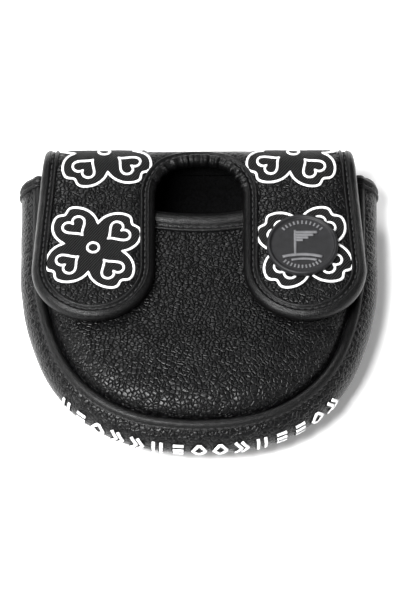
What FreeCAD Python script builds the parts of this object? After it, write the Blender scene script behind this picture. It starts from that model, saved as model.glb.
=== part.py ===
"""Mallet putter head cover: a D-shaped padded leather pouch, closed by a flap that comes over the
mouth from behind and ends in two rounded tabs with the shaft slot between them.

The cover lies on its back panel: +Z is up, X runs across, the toe points to -Y and the mouth to +Y.
The origin is under the middle of the pouch, on the surface that it lies on.
"""
import FreeCAD, Part
import math
import os
import Sketcher

V = FreeCAD.Vector
PARTS_FOLDER = "parts"
SHEET_NAME = "Dims"

# Driving dimensions, in millimetres and degrees.
DIMENSIONS = [
    ("half_width", 65.0, "middle of the pouch to the outside of the gusset"),
    ("toe_reach", 60.9, "middle of the pouch to the toe"),
    ("toe_bend", 94.0, "radius of the toe, outside the gusset"),
    ("corner_bend", 54.0, "radius of the corners beside the toe"),
    ("flank_bend", 120.0, "radius of the flanks"),
    ("flank_y", 16.0, "where the flanks become straight sides"),
    ("pouch_height", 30.0, "back panel to front panel, outside"),
    ("leather", 1.2, "thickness of the leather"),
    ("foam", 2.0, "thickness of the foam"),
    ("fleece", 2.0, "thickness of the pouch lining"),
    ("flap_fleece", 1.3, "thickness of the flap lining"),
    ("panel_inset", 8.7, "outside of the gusset to the edge of a panel"),
    ("panel_round", 7.4, "radius of the rounded edge of a padded panel"),
    ("piping_inset", 6.4, "outside of the gusset to the middle of the piping"),
    ("piping_height", 8.2, "panel face to the middle of the piping"),
    ("piping_size", 2.0, "outer radius of the piping"),
    ("cord_size", 1.2, "radius of the cord in the piping"),
    ("gusset_bulge", 8.0, "radius of the gusset's bulging section"),
    ("gusset_half_angle", 58.0, "half of the angle of the gusset's section"),
    ("mouth_y", 52.0, "end of the gusset and the piping at the mouth"),
    ("scoop_bend", 85.0, "radius of the front mouth edge"),
    ("scoop_y", 30.5, "lowest point of the front mouth edge"),
    ("binding_width", 5.5, "width of the edge binding"),
    ("mouth_binding", 7.4, "width of the binding on the front mouth edge"),
    ("binding_wall", 1.2, "leather of the binding beyond the foam"),
    ("back_end_y", 47.0, "where the back panel meets the flap root"),
    ("root_y", 53.0, "centre of the bend at the root of the flap"),
    ("root_bend", 8.0, "outer radius of the bend at the root"),
    ("fold_y", 48.5, "centre of the fold over the mouth"),
    ("fold_z", 22.3, "height of the centre of the fold"),
    ("fold_bend", 12.5, "outer radius of the fold"),
    ("bridge_half", 56.2, "half of the width of the bridge behind the mouth"),
    ("tab_x", 38.3, "middle of the cover to the centre of a tab"),
    ("tab_y", 5.7, "centre of the round end of a tab"),
    ("tab_bend", 22.3, "radius of the round end of a tab"),
    ("slot_y", 36.0, "centre of the round end of the shaft slot"),
    ("edge_flare", 4.7, "angle of the outer edges of the flap"),
    ("flap_back_y", 64.0, "plan outline of the flap, beyond the fold"),
    ("magnet_size", 7.5, "radius of a closing magnet"),
    ("magnet_thickness", 1.4, "thickness of a closing magnet"),
    ("magnet_y", -2.0, "place of the closing magnets"),
    ("badge_x", 37.4, "centre of the badge"),
    ("badge_y", 13.0, "centre of the badge"),
    ("badge_size", 13.0, "radius of the badge"),
    ("badge_thickness", 2.5, "thickness of the badge"),
    ("badge_round", 0.8, "rounding of the badge's top edge"),
    ("badge_wall", 1.0, "rubber round the magnet of the badge"),
    ("cup_wall", 0.4, "steel of the cup round the magnet"),
    ("thread", 0.4, "height of the embroidery above the leather"),
    ("emblem_y", 13.0, "centre of a lower emblem"),
    ("emblem_pitch", 43.5, "lower emblem to upper emblem"),
    ("leaf_size", 8.6, "radius of a leaf of an emblem"),
    ("leaf_reach", 8.0, "centre of an emblem to the centre of a leaf, along X and Y"),
    ("thread_angle", 26.0, "half of the gusset angle that its embroidery covers"),
    ("block_length", 4.6, "length of a block of the gusset embroidery"),
    ("block_pitch", 7.6, "block to block, along the outside of the D"),
    ("block_height", 7.0, "height of a block of the gusset embroidery"),
]
FOLD_SPLIT = 30.0       # angle above the horizontal at which the flap folds open
ROOT_SPLIT = -45.0      # angle at which the bridge hinges on the pouch
EMBLEM_START = 42.0     # angle on the fold at which the upper emblems end
BLOCK_COUNT = 15
BLOCK_DEPTH = 8.0       # depth of the tool that cuts a block, half of it outside the gusset
THREAD_BAND_END = 20.0  # Y at which the thin layer for the embroidery ends
UPPER_EMBLEM_PART = 0.9  # X of an upper emblem over the X of its tab
SPARE = 5.0             # how far a cutting shape reaches past what it cuts
SEAM_STEP = 1.0         # how far the cut behind the mouth binding reaches past the panel's edge
ROOT_GAP = 0.1          # gap between the back panel's end and the flap's root
SLOT_GAP = 0.5          # gap between the slot's seam and the ends of the slot's binding

doc = FreeCAD.newDocument("PutterHeadCover")
sheet = doc.addObject("Spreadsheet::Sheet", SHEET_NAME)
for row, (alias, number, meaning) in enumerate(DIMENSIONS, start=1):
    sheet.set(f"A{row}", meaning)
    sheet.set(f"B{row}", str(number))
    sheet.setAlias(f"B{row}", alias)
doc.recompute()


class Size:
    """A length or an angle: its number now, and the expression that binds it to the sheet."""

    def __init__(self, number, text):
        self.number = number
        self.text = text

    def __add__(self, other):
        other = as_size(other)
        return Size(self.number + other.number, f"({self.text} + {other.text})")

    def __sub__(self, other):
        other = as_size(other)
        return Size(self.number - other.number, f"({self.text} - {other.text})")

    def __mul__(self, factor):
        return Size(self.number * factor, f"({self.text} * {factor})")

    def __neg__(self):
        return Size(-self.number, f"(0 - {self.text})")


def as_size(value):
    return value if isinstance(value, Size) else Size(float(value), str(float(value)))


def dim(alias):
    return Size(float(sheet.get(alias)), f"{SHEET_NAME}.{alias}")


ZERO = as_size(0.0)
flap_thickness = dim("leather") + dim("foam") + dim("flap_fleece")
mid_height = dim("pouch_height") * 0.5
nodes = []


def node(item, label):
    """Name an object as a finished sub-part."""
    item.Label = label
    nodes.append(item)
    return item


# ---------------------------------------------------------------- sketches

def new_body(name):
    return doc.addObject("PartDesign::Body", name)


def new_sketch(body, role, offset=ZERO):
    """A sketch on one of the body's own origin planes, moved along its normal."""
    plane = next(p for p in body.Origin.OriginFeatures if p.Role == role)
    sketch = body.newObject("Sketcher::SketchObject", body.Name + "Sketch")
    sketch.AttachmentSupport = [(plane, "")]
    sketch.MapMode = "FlatFace"
    sketch.AttachmentOffset = FreeCAD.Placement(V(0, 0, offset.number), FreeCAD.Rotation())
    sketch.setExpression(".AttachmentOffset.Base.z", offset.text)
    return sketch


def fix(sketch, kind, *where, size):
    """Add a dimension constraint and bind it to the sheet."""
    is_angle = kind == "Angle"
    number = math.radians(size.number) if is_angle else size.number
    index = sketch.addConstraint(Sketcher.Constraint(kind, *where, number))
    sketch.setExpression(f"Constraints[{index}]", f"{size.text} * 1 {'deg' if is_angle else 'mm'}")


def relate(sketch, kind, *where):
    sketch.addConstraint(Sketcher.Constraint(kind, *where))


def arc(centre, radius, start, end):
    """A counterclockwise arc between two angles in degrees."""
    circle = Part.Circle(V(centre[0], centre[1], 0), V(0, 0, 1), radius)
    return Part.ArcOfCircle(circle, math.radians(start), math.radians(end))


def line(x0, y0, x1, y1):
    return Part.LineSegment(V(x0, y0, 0), V(x1, y1, 0))


def toe_centres():
    """Centres of the toe, corner and flank arcs, and the angles where they meet.

    The corner arc touches the other two from inside, so its centre is where two circles about
    their centres cross: one of toe_bend - corner_bend and one of flank_bend - corner_bend.
    """
    toe = V(0, dim("toe_bend").number - dim("toe_reach").number, 0)
    flank = V(dim("half_width").number - dim("flank_bend").number, dim("flank_y").number, 0)
    from_toe = dim("toe_bend").number - dim("corner_bend").number
    from_flank = dim("flank_bend").number - dim("corner_bend").number
    apart = (flank - toe).Length
    along = (apart ** 2 + from_toe ** 2 - from_flank ** 2) / (2 * apart)
    aside = math.sqrt(from_toe ** 2 - along ** 2)
    unit = (flank - toe) * (1 / apart)
    corner = toe + unit * along + V(-unit.y, unit.x, 0) * aside
    first = math.degrees(math.atan2(corner.y - toe.y, corner.x - toe.x))
    second = math.degrees(math.atan2(corner.y - flank.y, corner.x - flank.x))
    return toe, corner, flank, first, second


def d_outline(sketch, inset, mouth=None, scoop=None, is_path=False):
    """The D outline at an inset from the outside of the gusset.

    Five tangent arcs go round the toe and the flanks, and two straight sides run to the mouth.
    The mouth end is a straight line at mouth, or, with scoop, the sagging arc of the front edge
    moved towards the toe by scoop. The path of a sweep stays open there.
    """
    toe, corner, flank, first, second = toe_centres()
    side = dim("half_width") - inset
    toe_r, corner_r, flank_r = (dim(a) - inset for a in ("toe_bend", "corner_bend", "flank_bend"))
    if scoop is not None:
        bend = dim("scoop_bend") + scoop
        centre_y = dim("scoop_y") + dim("scoop_bend")
        end_y = centre_y.number - math.sqrt(bend.number ** 2 - side.number ** 2)
    else:
        end_y = mouth.number
    w = side.number
    sketch.addGeometry(arc((0, toe.y), toe_r.number, -180 - first, first))
    sketch.addGeometry(arc((corner.x, corner.y), corner_r.number, first, second))
    sketch.addGeometry(arc((flank.x, flank.y), flank_r.number, second, 0))
    sketch.addGeometry(line(w, flank.y, w, end_y))
    sketch.addGeometry(line(-w, end_y, -w, flank.y))
    sketch.addGeometry(arc((-flank.x, flank.y), flank_r.number, 180, 180 - second))
    sketch.addGeometry(arc((-corner.x, corner.y), corner_r.number, 180 - second, 180 - first))
    for a, b in ((0, 1), (1, 2), (2, 3), (4, 5), (5, 6), (6, 0)):
        relate(sketch, "Tangent", a, 2, b, 1)
    relate(sketch, "Vertical", 3)
    relate(sketch, "Vertical", 4)
    relate(sketch, "PointOnObject", 0, 3, -2)
    for index, radius in ((0, toe_r), (1, corner_r), (2, flank_r), (5, flank_r), (6, corner_r)):
        fix(sketch, "Radius", index, size=radius)
    fix(sketch, "DistanceY", -1, 1, 0, 3, size=dim("toe_bend") - dim("toe_reach"))
    fix(sketch, "DistanceY", -1, 1, 2, 3, size=dim("flank_y"))
    fix(sketch, "DistanceY", -1, 1, 5, 3, size=dim("flank_y"))
    fix(sketch, "DistanceX", -1, 1, 3, 1, size=side)
    fix(sketch, "DistanceX", 4, 1, -1, 1, size=side)
    if scoop is not None:
        half = math.degrees(math.asin(w / bend.number))
        sketch.addGeometry(arc((0, centre_y.number), bend.number, -90 - half, -90 + half))
        relate(sketch, "Coincident", 3, 2, 7, 2)
        relate(sketch, "Coincident", 4, 1, 7, 1)
        relate(sketch, "PointOnObject", 7, 3, -2)
        fix(sketch, "Radius", 7, size=bend)
        fix(sketch, "DistanceY", -1, 1, 7, 3, size=centre_y)
        return
    fix(sketch, "DistanceY", -1, 1, 3, 2, size=mouth)
    fix(sketch, "DistanceY", -1, 1, 4, 1, size=mouth)
    if not is_path:
        sketch.addGeometry(line(w, end_y, -w, end_y))
        relate(sketch, "Coincident", 3, 2, 7, 1)
        relate(sketch, "Coincident", 7, 2, 4, 1)


def flap_outline(sketch, inset):
    """The flap seen from above, at an inset from its edge: two round tabs and the slot between.

    A tab's end is an arc about its centre. Its inner side runs straight to the round end of the
    slot, and its outer side leaves the arc at the flare angle and runs back past the fold.
    """
    tab_x, tab_y, slot_y = dim("tab_x"), dim("tab_y"), dim("slot_y")
    tab_r = dim("tab_bend") - inset
    slot_r = tab_x - dim("tab_bend") + inset
    flare = math.radians(dim("edge_flare").number)
    back = dim("flap_back_y")
    edge_x = tab_x.number + tab_r.number * math.cos(flare)
    edge_y = tab_y.number + tab_r.number * math.sin(flare)
    back_x = edge_x - (back.number - edge_y) * math.tan(flare)
    angle = dim("edge_flare").number
    inner = slot_r.number
    sketch.addGeometry(arc((-tab_x.number, tab_y.number), tab_r.number, 180 - angle, 360))
    sketch.addGeometry(line(-inner, tab_y.number, -inner, slot_y.number))
    sketch.addGeometry(arc((0, slot_y.number), slot_r.number, 0, 180))
    sketch.addGeometry(line(inner, slot_y.number, inner, tab_y.number))
    sketch.addGeometry(arc((tab_x.number, tab_y.number), tab_r.number, 180, 360 + angle))
    sketch.addGeometry(line(edge_x, edge_y, back_x, back.number))
    sketch.addGeometry(line(back_x, back.number, -back_x, back.number))
    sketch.addGeometry(line(-back_x, back.number, -edge_x, edge_y))
    for a, a_end, b, b_end in ((0, 2, 1, 1), (1, 2, 2, 2), (2, 1, 3, 1), (3, 2, 4, 1),
                               (4, 2, 5, 1), (7, 2, 0, 1)):
        relate(sketch, "Tangent", a, a_end, b, b_end)
    relate(sketch, "Coincident", 5, 2, 6, 1)
    relate(sketch, "Coincident", 6, 2, 7, 1)
    relate(sketch, "PointOnObject", 2, 3, -2)
    for index, radius in ((0, tab_r), (2, slot_r), (4, tab_r)):
        fix(sketch, "Radius", index, size=radius)
    fix(sketch, "DistanceX", 0, 3, -1, 1, size=tab_x)
    fix(sketch, "DistanceX", -1, 1, 4, 3, size=tab_x)
    for index in (0, 4):
        fix(sketch, "DistanceY", -1, 1, index, 3, size=tab_y)
    fix(sketch, "DistanceY", -1, 1, 2, 3, size=slot_y)
    fix(sketch, "DistanceY", -1, 1, 5, 2, size=back)
    fix(sketch, "DistanceY", -1, 1, 7, 1, size=back)
    fix(sketch, "Angle", 5, size=Size(90.0, "90") + dim("edge_flare"))
    fix(sketch, "Angle", 7, size=Size(-90.0, "-90") - dim("edge_flare"))


def bend_strip(sketch, centre_y, centre_z, bend, near, far, start, end):
    """An arc-shaped strip in the YZ plane: depths near to far below a bend's outer surface."""
    outer, inner = bend - near, bend - far
    y, z = centre_y.number, centre_z.number
    sketch.addGeometry(arc((y, z), outer.number, start, end))
    sketch.addGeometry(arc((y, z), inner.number, start, end))
    return outer, inner


def point_at(centre_y, centre_z, radius, angle):
    """The point of a circle at an angle, as two plain numbers."""
    turn = math.radians(angle)
    return centre_y + radius * math.cos(turn), centre_z + radius * math.sin(turn)


def bend_arcs(sketch, first_index, centre_y, centre_z, outer, inner, near_angle, far_angle):
    """Constrain two concentric arcs and the straight radial cuts at the given angles.

    The arcs are geometry first_index and first_index + 1. A cut angle of None is a tangent end.
    """
    a, b = first_index, first_index + 1
    fix(sketch, "Radius", a, size=outer)
    fix(sketch, "Radius", b, size=inner)
    fix(sketch, "DistanceX", -1, 1, a, 3, size=centre_y)
    fix(sketch, "DistanceY", -1, 1, a, 3, size=centre_z)
    relate(sketch, "Coincident", a, 3, b, 3)
    for end, angle in ((1, near_angle), (2, far_angle)):
        if angle is None:
            continue
        index = sketch.GeometryCount
        x0, z0 = point_at(centre_y.number, centre_z.number, inner.number, angle)
        x1, z1 = point_at(centre_y.number, centre_z.number, outer.number, angle)
        sketch.addGeometry(line(x0, z0, x1, z1))
        relate(sketch, "Coincident", index, 1, b, end)
        relate(sketch, "Coincident", index, 2, a, end)
        fix(sketch, "Angle", index, size=as_size(angle))


def front_layer(body, near, far, start=FOLD_SPLIT):
    """Section of a layer of the flap's front: round the fold, then flat to the ends of the tabs."""
    sketch = new_sketch(body, "YZ_Plane")
    y, z, bend = dim("fold_y"), dim("fold_z"), dim("fold_bend")
    outer, inner = bend_strip(sketch, y, z, bend, near, far, start, 90)
    bend_arcs(sketch, 0, y, z, outer, inner, start, None)
    end_y = -(dim("tab_bend") + dim("tab_x"))
    top, under = z.number + outer.number, z.number + inner.number
    sketch.addGeometry(line(y.number, top, end_y.number, top))
    sketch.addGeometry(line(end_y.number, top, end_y.number, under))
    sketch.addGeometry(line(end_y.number, under, y.number, under))
    relate(sketch, "Tangent", 0, 2, 3, 1)
    relate(sketch, "Coincident", 3, 2, 4, 1)
    relate(sketch, "Coincident", 4, 2, 5, 1)
    relate(sketch, "Tangent", 5, 2, 1, 2)
    relate(sketch, "Horizontal", 3)
    relate(sketch, "Horizontal", 5)
    relate(sketch, "Vertical", 4)
    fix(sketch, "DistanceX", 3, 2, -1, 1, size=-end_y)
    return sketch


def bridge_layer(body, near, far, offset=ZERO):
    """Section of a layer of the bridge: from the root's bend up the back and into the fold."""
    sketch = new_sketch(body, "YZ_Plane", offset)
    root_y, root_z, root_bend = dim("root_y"), dim("root_bend"), dim("root_bend")
    fold_y, fold_z, fold_bend = dim("fold_y"), dim("fold_z"), dim("fold_bend")
    root_outer, root_inner = bend_strip(sketch, root_y, root_z, root_bend, near, far, ROOT_SPLIT, 0)
    bend_arcs(sketch, 0, root_y, root_z, root_outer, root_inner, ROOT_SPLIT, None)
    fold_outer, fold_inner = bend_strip(sketch, fold_y, fold_z, fold_bend, near, far, 0, FOLD_SPLIT)
    bend_arcs(sketch, 3, fold_y, fold_z, fold_outer, fold_inner, None, FOLD_SPLIT)
    for low, high, reach in ((0, 3, root_outer), (1, 4, root_inner)):
        index = sketch.GeometryCount
        wall = root_y.number + reach.number
        sketch.addGeometry(line(wall, root_z.number, wall, fold_z.number))
        relate(sketch, "Tangent", index, 1, low, 2)
        relate(sketch, "Tangent", index, 2, high, 1)
    return sketch


# ---------------------------------------------------------------- features

def pad(body, sketch, length, symmetric=False):
    feature = body.newObject("PartDesign::Pad", body.Name + "Pad")
    feature.Profile = sketch
    feature.SideType = "Symmetric" if symmetric else "One side"
    feature.Length = length.number
    feature.setExpression("Length", length.text)
    return body


def sweep(body, profile, path):
    """Carry a profile along a path that lies in a level plane."""
    feature = body.newObject("PartDesign::AdditivePipe", body.Name + "Pipe")
    feature.Profile = profile
    feature.Spine = path
    feature.Mode = "Frenet"
    return body


def boolean(kind, name, base, tool):
    item = doc.addObject(f"Part::{kind}", name)
    item.Base = base
    item.Tool = tool
    return item


def common(name, base, tool):
    return boolean("Common", name, base, tool)


def cut(name, base, tool):
    return boolean("Cut", name, base, tool)


def fuse_all(name, shapes):
    item = doc.addObject("Part::MultiFuse", name)
    item.Shapes = shapes
    return item


def place(item, x, y, z, turn=None):
    """Bind an object's position to the sheet, with an optional fixed turn."""
    item.Placement = FreeCAD.Placement(V(x.number, y.number, z.number), turn or FreeCAD.Rotation())
    for axis, size in zip("xyz", (x, y, z)):
        item.setExpression(f".Placement.Base.{axis}", size.text)


def disc(name, radius, height, x, y, z, turn=None):
    item = doc.addObject("Part::Cylinder", name)
    item.setExpression("Radius", radius.text)
    item.setExpression("Height", height.text)
    place(item, x, y, z, turn)
    return item


def block(name, length, width, height, x, y, z, turn=None):
    item = doc.addObject("Part::Box", name)
    item.setExpression("Length", length.text)
    item.setExpression("Width", width.text)
    item.setExpression("Height", height.text)
    place(item, x, y, z, turn)
    return item


def rounded_pad(name, depth, seam_z, face_z, mouth=None, scoop=None):
    """A solid under a padded panel's surface, at a depth below it.

    The D outline stands between the seam and the panel's face, and the edge round the face is
    rounded, apart from the mouth end. The depth moves the outline, the face and the round inwards.
    """
    body = new_body(name)
    rises = face_z.number > seam_z.number
    face = face_z - depth if rises else face_z + depth
    low, high = (seam_z, face) if rises else (face, seam_z)
    sketch = new_sketch(body, "XY_Plane", low)
    inset = dim("panel_inset") + depth
    d_outline(sketch, inset, mouth, scoop)
    pad(body, sketch, high - low)
    doc.recompute()
    solid = body.Tip
    full_width = 2 * (dim("half_width") - inset).number
    edges = [f"Edge{index}" for index, edge in enumerate(solid.Shape.Edges, start=1)
             if abs(edge.BoundBox.ZMin - face.number) < 0.01
             and abs(edge.BoundBox.ZMax - face.number) < 0.01
             and edge.BoundBox.XLength < full_width - 0.5]
    fillet = body.newObject("PartDesign::Fillet", body.Name + "Round")
    fillet.Base = (solid, edges)
    radius = dim("panel_round") - depth
    fillet.Radius = radius.number
    fillet.setExpression("Radius", radius.text)
    return body


def panel_layer(name, near, far, seam_z, face_z, mouth=None, scoop=None):
    """A layer of a padded panel, between two depths below its surface."""
    outside = rounded_pad(name + "Outside", near, seam_z, face_z, mouth, scoop)
    inside = rounded_pad(name + "Inside", far, seam_z, face_z, mouth, scoop)
    return cut(name, outside, inside)


# ---------------------------------------------------------------- pouch: back

leather, foam, fleece = dim("leather"), dim("foam"), dim("fleece")
stack = leather + foam + fleece
back_end = dim("back_end_y")
back_zs = (dim("piping_height"), ZERO)
node(panel_layer("BackPanel", ZERO, leather, *back_zs, mouth=back_end), "back_panel")
node(panel_layer("BackFoam", leather, leather + foam, *back_zs, mouth=back_end), "back_foam")
node(panel_layer("BackLining", leather + foam, stack, *back_zs, mouth=back_end), "back_lining")


def flap_root():
    """Doubled leather that carries the flap: from the back panel into the bend behind the mouth."""
    body = new_body("FlapRoot")
    sketch = new_sketch(body, "YZ_Plane")
    y, z = dim("root_y"), dim("root_bend")
    outer, inner = bend_strip(sketch, y, z, dim("root_bend"), ZERO, flap_thickness, -90, ROOT_SPLIT)
    bend_arcs(sketch, 0, y, z, outer, inner, None, ROOT_SPLIT)
    start, top = back_end + ROOT_GAP, flap_thickness.number
    sketch.addGeometry(line(start.number, 0, y.number, 0))
    sketch.addGeometry(line(start.number, top, start.number, 0))
    sketch.addGeometry(line(y.number, top, start.number, top))
    relate(sketch, "Tangent", 3, 2, 0, 1)
    relate(sketch, "Coincident", 4, 2, 3, 1)
    relate(sketch, "Coincident", 5, 2, 4, 1)
    relate(sketch, "Tangent", 1, 1, 5, 1)
    relate(sketch, "Horizontal", 3)
    relate(sketch, "Vertical", 4)
    relate(sketch, "Horizontal", 5)
    fix(sketch, "DistanceX", -1, 1, 3, 1, size=start)
    return pad(body, sketch, dim("bridge_half") * 2, symmetric=True)


node(flap_root(), "flap_root")

# ---------------------------------------------------------------- pouch: front

front_foam_z = dim("pouch_height") - leather - foam
front_zs = (dim("pouch_height") - dim("piping_height"), dim("pouch_height"))
binding_width, binding_wall = dim("binding_width"), dim("binding_wall")
magnet_size, magnet_thickness = dim("magnet_size"), dim("magnet_thickness")


def magnets(prefix, z):
    """A pair of closing magnets, one under each tab."""
    return [disc(prefix + side, magnet_size, magnet_thickness, x, dim("magnet_y"), z)
            for side, x in (("Left", -dim("tab_x")), ("Right", dim("tab_x")))]


mouth_binding = dim("mouth_binding")
node(panel_layer("FrontPanel", ZERO, leather, *front_zs, scoop=mouth_binding), "front_panel")
front_foam_pad = panel_layer("FrontFoamPad", leather, leather + foam, *front_zs, scoop=binding_wall)
keepers = magnets("KeeperMagnet", front_foam_z + (foam - magnet_thickness) * 0.5)
node(cut("FrontFoam", front_foam_pad, fuse_all("KeeperPockets", keepers)), "front_foam")
node(keepers[0], "left_keeper_magnet")
node(keepers[1], "right_keeper_magnet")
node(panel_layer("FrontLining", leather + foam, stack, *front_zs, scoop=mouth_binding),
     "front_lining")

# The mouth binding is the whole stack at the mouth edge, less the tongue of foam inside its fold.
mouth_edge = panel_layer("MouthEdge", ZERO, stack, *front_zs, scoop=ZERO)
body = new_body("BehindMouth")
sketch = new_sketch(body, "XY_Plane", front_zs[0])
d_outline(sketch, dim("panel_inset") - SEAM_STEP, scoop=mouth_binding)
pad(body, sketch, dim("piping_height") + SEAM_STEP)
mouth_strip = cut("MouthStrip", mouth_edge, body)
node(cut("MouthBinding", mouth_strip, front_foam_pad), "front_mouth_binding")

# ---------------------------------------------------------------- pouch: gusset and piping


def path_sketch(body, inset, height, mouth):
    sketch = new_sketch(body, "XY_Plane", height)
    d_outline(sketch, inset, mouth, is_path=True)
    return sketch


def gusset_section(sketch, near, far, half_angle):
    """Bulging strip of the gusset's section, between two depths and between two radial cuts."""
    bend = dim("gusset_bulge")
    x, z = bend - dim("half_width"), mid_height
    outer, inner = bend - near, bend - far
    start, end = 180 - half_angle.number, 180 + half_angle.number
    sketch.addGeometry(arc((x.number, z.number), outer.number, start, end))
    sketch.addGeometry(arc((x.number, z.number), inner.number, start, end))
    for index, angle in ((2, start), (3, end)):
        x0, z0 = point_at(x.number, z.number, inner.number, angle)
        x1, z1 = point_at(x.number, z.number, outer.number, angle)
        sketch.addGeometry(line(x0, z0, x1, z1))
        relate(sketch, "Coincident", index, 1, 1, index - 1)
        relate(sketch, "Coincident", index, 2, 0, index - 1)
    fix(sketch, "Radius", 0, size=outer)
    fix(sketch, "Radius", 1, size=inner)
    fix(sketch, "DistanceX", 0, 3, -1, 1, size=-x)
    fix(sketch, "DistanceY", -1, 1, 0, 3, size=z)
    relate(sketch, "Coincident", 0, 3, 1, 3)
    fix(sketch, "Angle", 2, size=Size(180.0, "180") - half_angle)
    fix(sketch, "Angle", 3, size=half_angle - 180)
    return sketch


def gusset_layer(name, near, far, mouth, half_angle):
    """A layer of the gusset: its section carried round the D."""
    body = new_body(name)
    path = path_sketch(body, ZERO, mid_height, mouth)
    profile = gusset_section(new_sketch(body, "XZ_Plane", -mouth), near, far, half_angle)
    return sweep(body, profile, path)


gusset_angle = dim("gusset_half_angle")
mouth_y = dim("mouth_y")
gusset_end = mouth_y - binding_width
foam_end = mouth_y - binding_wall
node(gusset_layer("Gusset", ZERO, leather, gusset_end, gusset_angle), "gusset")
gusset_foam = gusset_layer("GussetFoam", leather, leather + foam, foam_end, gusset_angle)
node(gusset_foam, "gusset_foam")
node(gusset_layer("GussetLining", leather + foam, stack, gusset_end, gusset_angle),
     "gusset_lining")


def piping(name, height, outer, inner=None):
    """The piping's leather sleeve, or with no inner radius its cord, round the D."""
    body = new_body(name)
    path = path_sketch(body, dim("piping_inset"), height, mouth_y)
    profile = new_sketch(body, "XZ_Plane", -mouth_y)
    x = dim("half_width") - dim("piping_inset")
    for index, radius in enumerate(r for r in (outer, inner) if r is not None):
        circle = Part.Circle(V(-x.number, height.number, 0), V(0, 0, 1), radius.number)
        profile.addGeometry(circle)
        fix(profile, "Radius", index, size=radius)
        fix(profile, "DistanceX", index, 3, -1, 1, size=x)
        fix(profile, "DistanceY", -1, 1, index, 3, size=height)
    return sweep(body, profile, path)


piping_heights = (("Front", dim("pouch_height") - dim("piping_height")),
                  ("Back", dim("piping_height")))
for side, height in piping_heights:
    node(piping(f"{side}Piping", height, dim("piping_size"), dim("cord_size")),
         f"{side.lower()}_piping")
    node(piping(f"{side}PipingCord", height, dim("cord_size")), f"{side.lower()}_piping_cord")


def gusset_binding(side_name, side):
    """Folded leather over the end of the gusset at the mouth, round the end of its foam."""
    body = new_body(f"{side_name}MouthBinding")
    sketch = gusset_section(new_sketch(body, "XZ_Plane", -mouth_y), ZERO, stack,
                            gusset_angle)
    pad(body, sketch, binding_width)
    if side > 0:
        mirrored = doc.addObject("Part::Mirroring", "RightMouthBindingMirror")
        mirrored.Source = body
        mirrored.Normal = V(1, 0, 0)
        body = mirrored
    return cut(f"{side_name}MouthBindingFold", body, gusset_foam)


for side_name, side in (("Left", -1), ("Right", 1)):
    node(gusset_binding(side_name, side), f"{side_name.lower()}_mouth_binding")


def toe_point(direction):
    """The point of the D's outside whose outward normal has a direction, in degrees from the toe."""
    toe, corner, flank, first, second = toe_centres()
    turn = abs(direction)
    if turn <= 90 + first:
        centre, radius = toe, dim("toe_bend").number
    elif turn <= 90 + second:
        centre, radius = corner, dim("corner_bend").number
    else:
        centre, radius = flank, dim("flank_bend").number
    angle = math.radians(turn)
    x = centre.x + radius * math.sin(angle)
    return math.copysign(x, direction), centre.y - radius * math.cos(angle)


def toe_direction(distance):
    """Direction of the outward normal at a distance along the D's outside, from the toe's middle."""
    toe_turn = 90 + toe_centres()[3]
    toe_length = dim("toe_bend").number * math.radians(toe_turn)
    past_toe = max(abs(distance) - toe_length, 0)
    turn = (abs(distance) - past_toe) / dim("toe_bend").number
    turn += past_toe / dim("corner_bend").number
    return math.copysign(math.degrees(turn), distance)


def gusset_embroidery():
    """A row of raised thread blocks round the toe, cut from a thin layer over the gusset."""
    band_end = as_size(THREAD_BAND_END)
    layer = gusset_layer("ThreadBand", -dim("thread"), ZERO, band_end, dim("thread_angle"))
    length, height, depth = dim("block_length"), dim("block_height"), as_size(BLOCK_DEPTH)
    blocks = []
    for index in range(BLOCK_COUNT):
        direction = toe_direction(dim("block_pitch").number * (index - (BLOCK_COUNT - 1) / 2))
        x, y = toe_point(direction)
        turn = FreeCAD.Rotation(V(0, 0, 1), direction)
        corner = turn.multVec(V(-length.number / 2, -depth.number / 2, 0))
        blocks.append(block(f"Block{index}", length, depth, height, as_size(x + corner.x),
                            as_size(y + corner.y), mid_height - height * 0.5, turn))
    return common("GussetEmbroidery", layer, fuse_all("ThreadBlocks", blocks))


node(gusset_embroidery(), "gusset_embroidery")

# ---------------------------------------------------------------- bridge behind the mouth

flap_fleece = dim("flap_fleece")
bridge_half = dim("bridge_half")
bridge_inner_half = bridge_half - binding_width
lining_near = leather + foam


def bridge_slab(name, near, far, half):
    body = new_body(name)
    return pad(body, bridge_layer(body, near, far), half * 2, symmetric=True)


node(bridge_slab("BridgeLeather", ZERO, leather, bridge_inner_half), "bridge_leather")
bridge_foam = bridge_slab("BridgeFoam", leather, lining_near, bridge_half - binding_wall)
node(bridge_foam, "bridge_foam")
node(bridge_slab("BridgeLining", lining_near, flap_thickness, bridge_inner_half), "bridge_lining")
for side_name, x in (("Left", -bridge_half), ("Right", bridge_inner_half)):
    body = new_body(f"{side_name}BridgeStrip")
    pad(body, bridge_layer(body, ZERO, flap_thickness, offset=x), binding_width)
    node(cut(f"{side_name}BridgeBinding", body, bridge_foam), f"{side_name.lower()}_bridge_binding")

# ---------------------------------------------------------------- front of the flap

plan_height = dim("fold_z") + dim("fold_bend")


def plan_prism(name, inset):
    """An upright prism of the flap's plan, tall enough for the fold and the tabs."""
    body = new_body(name)
    sketch = new_sketch(body, "XY_Plane", dim("fold_z"))
    flap_outline(sketch, inset)
    return pad(body, sketch, dim("fold_bend") + SPARE)


def flap_slab(name, near, far, start=FOLD_SPLIT):
    """A layer of the flap's front at full width, still without its plan outline."""
    body = new_body(name)
    return pad(body, front_layer(body, near, far, start), dim("half_width") * 2, symmetric=True)


edge_plan = plan_prism("EdgePlan", ZERO)
foam_plan = plan_prism("FoamPlan", binding_wall)
seam_plan = plan_prism("SeamPlan", binding_width)

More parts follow.
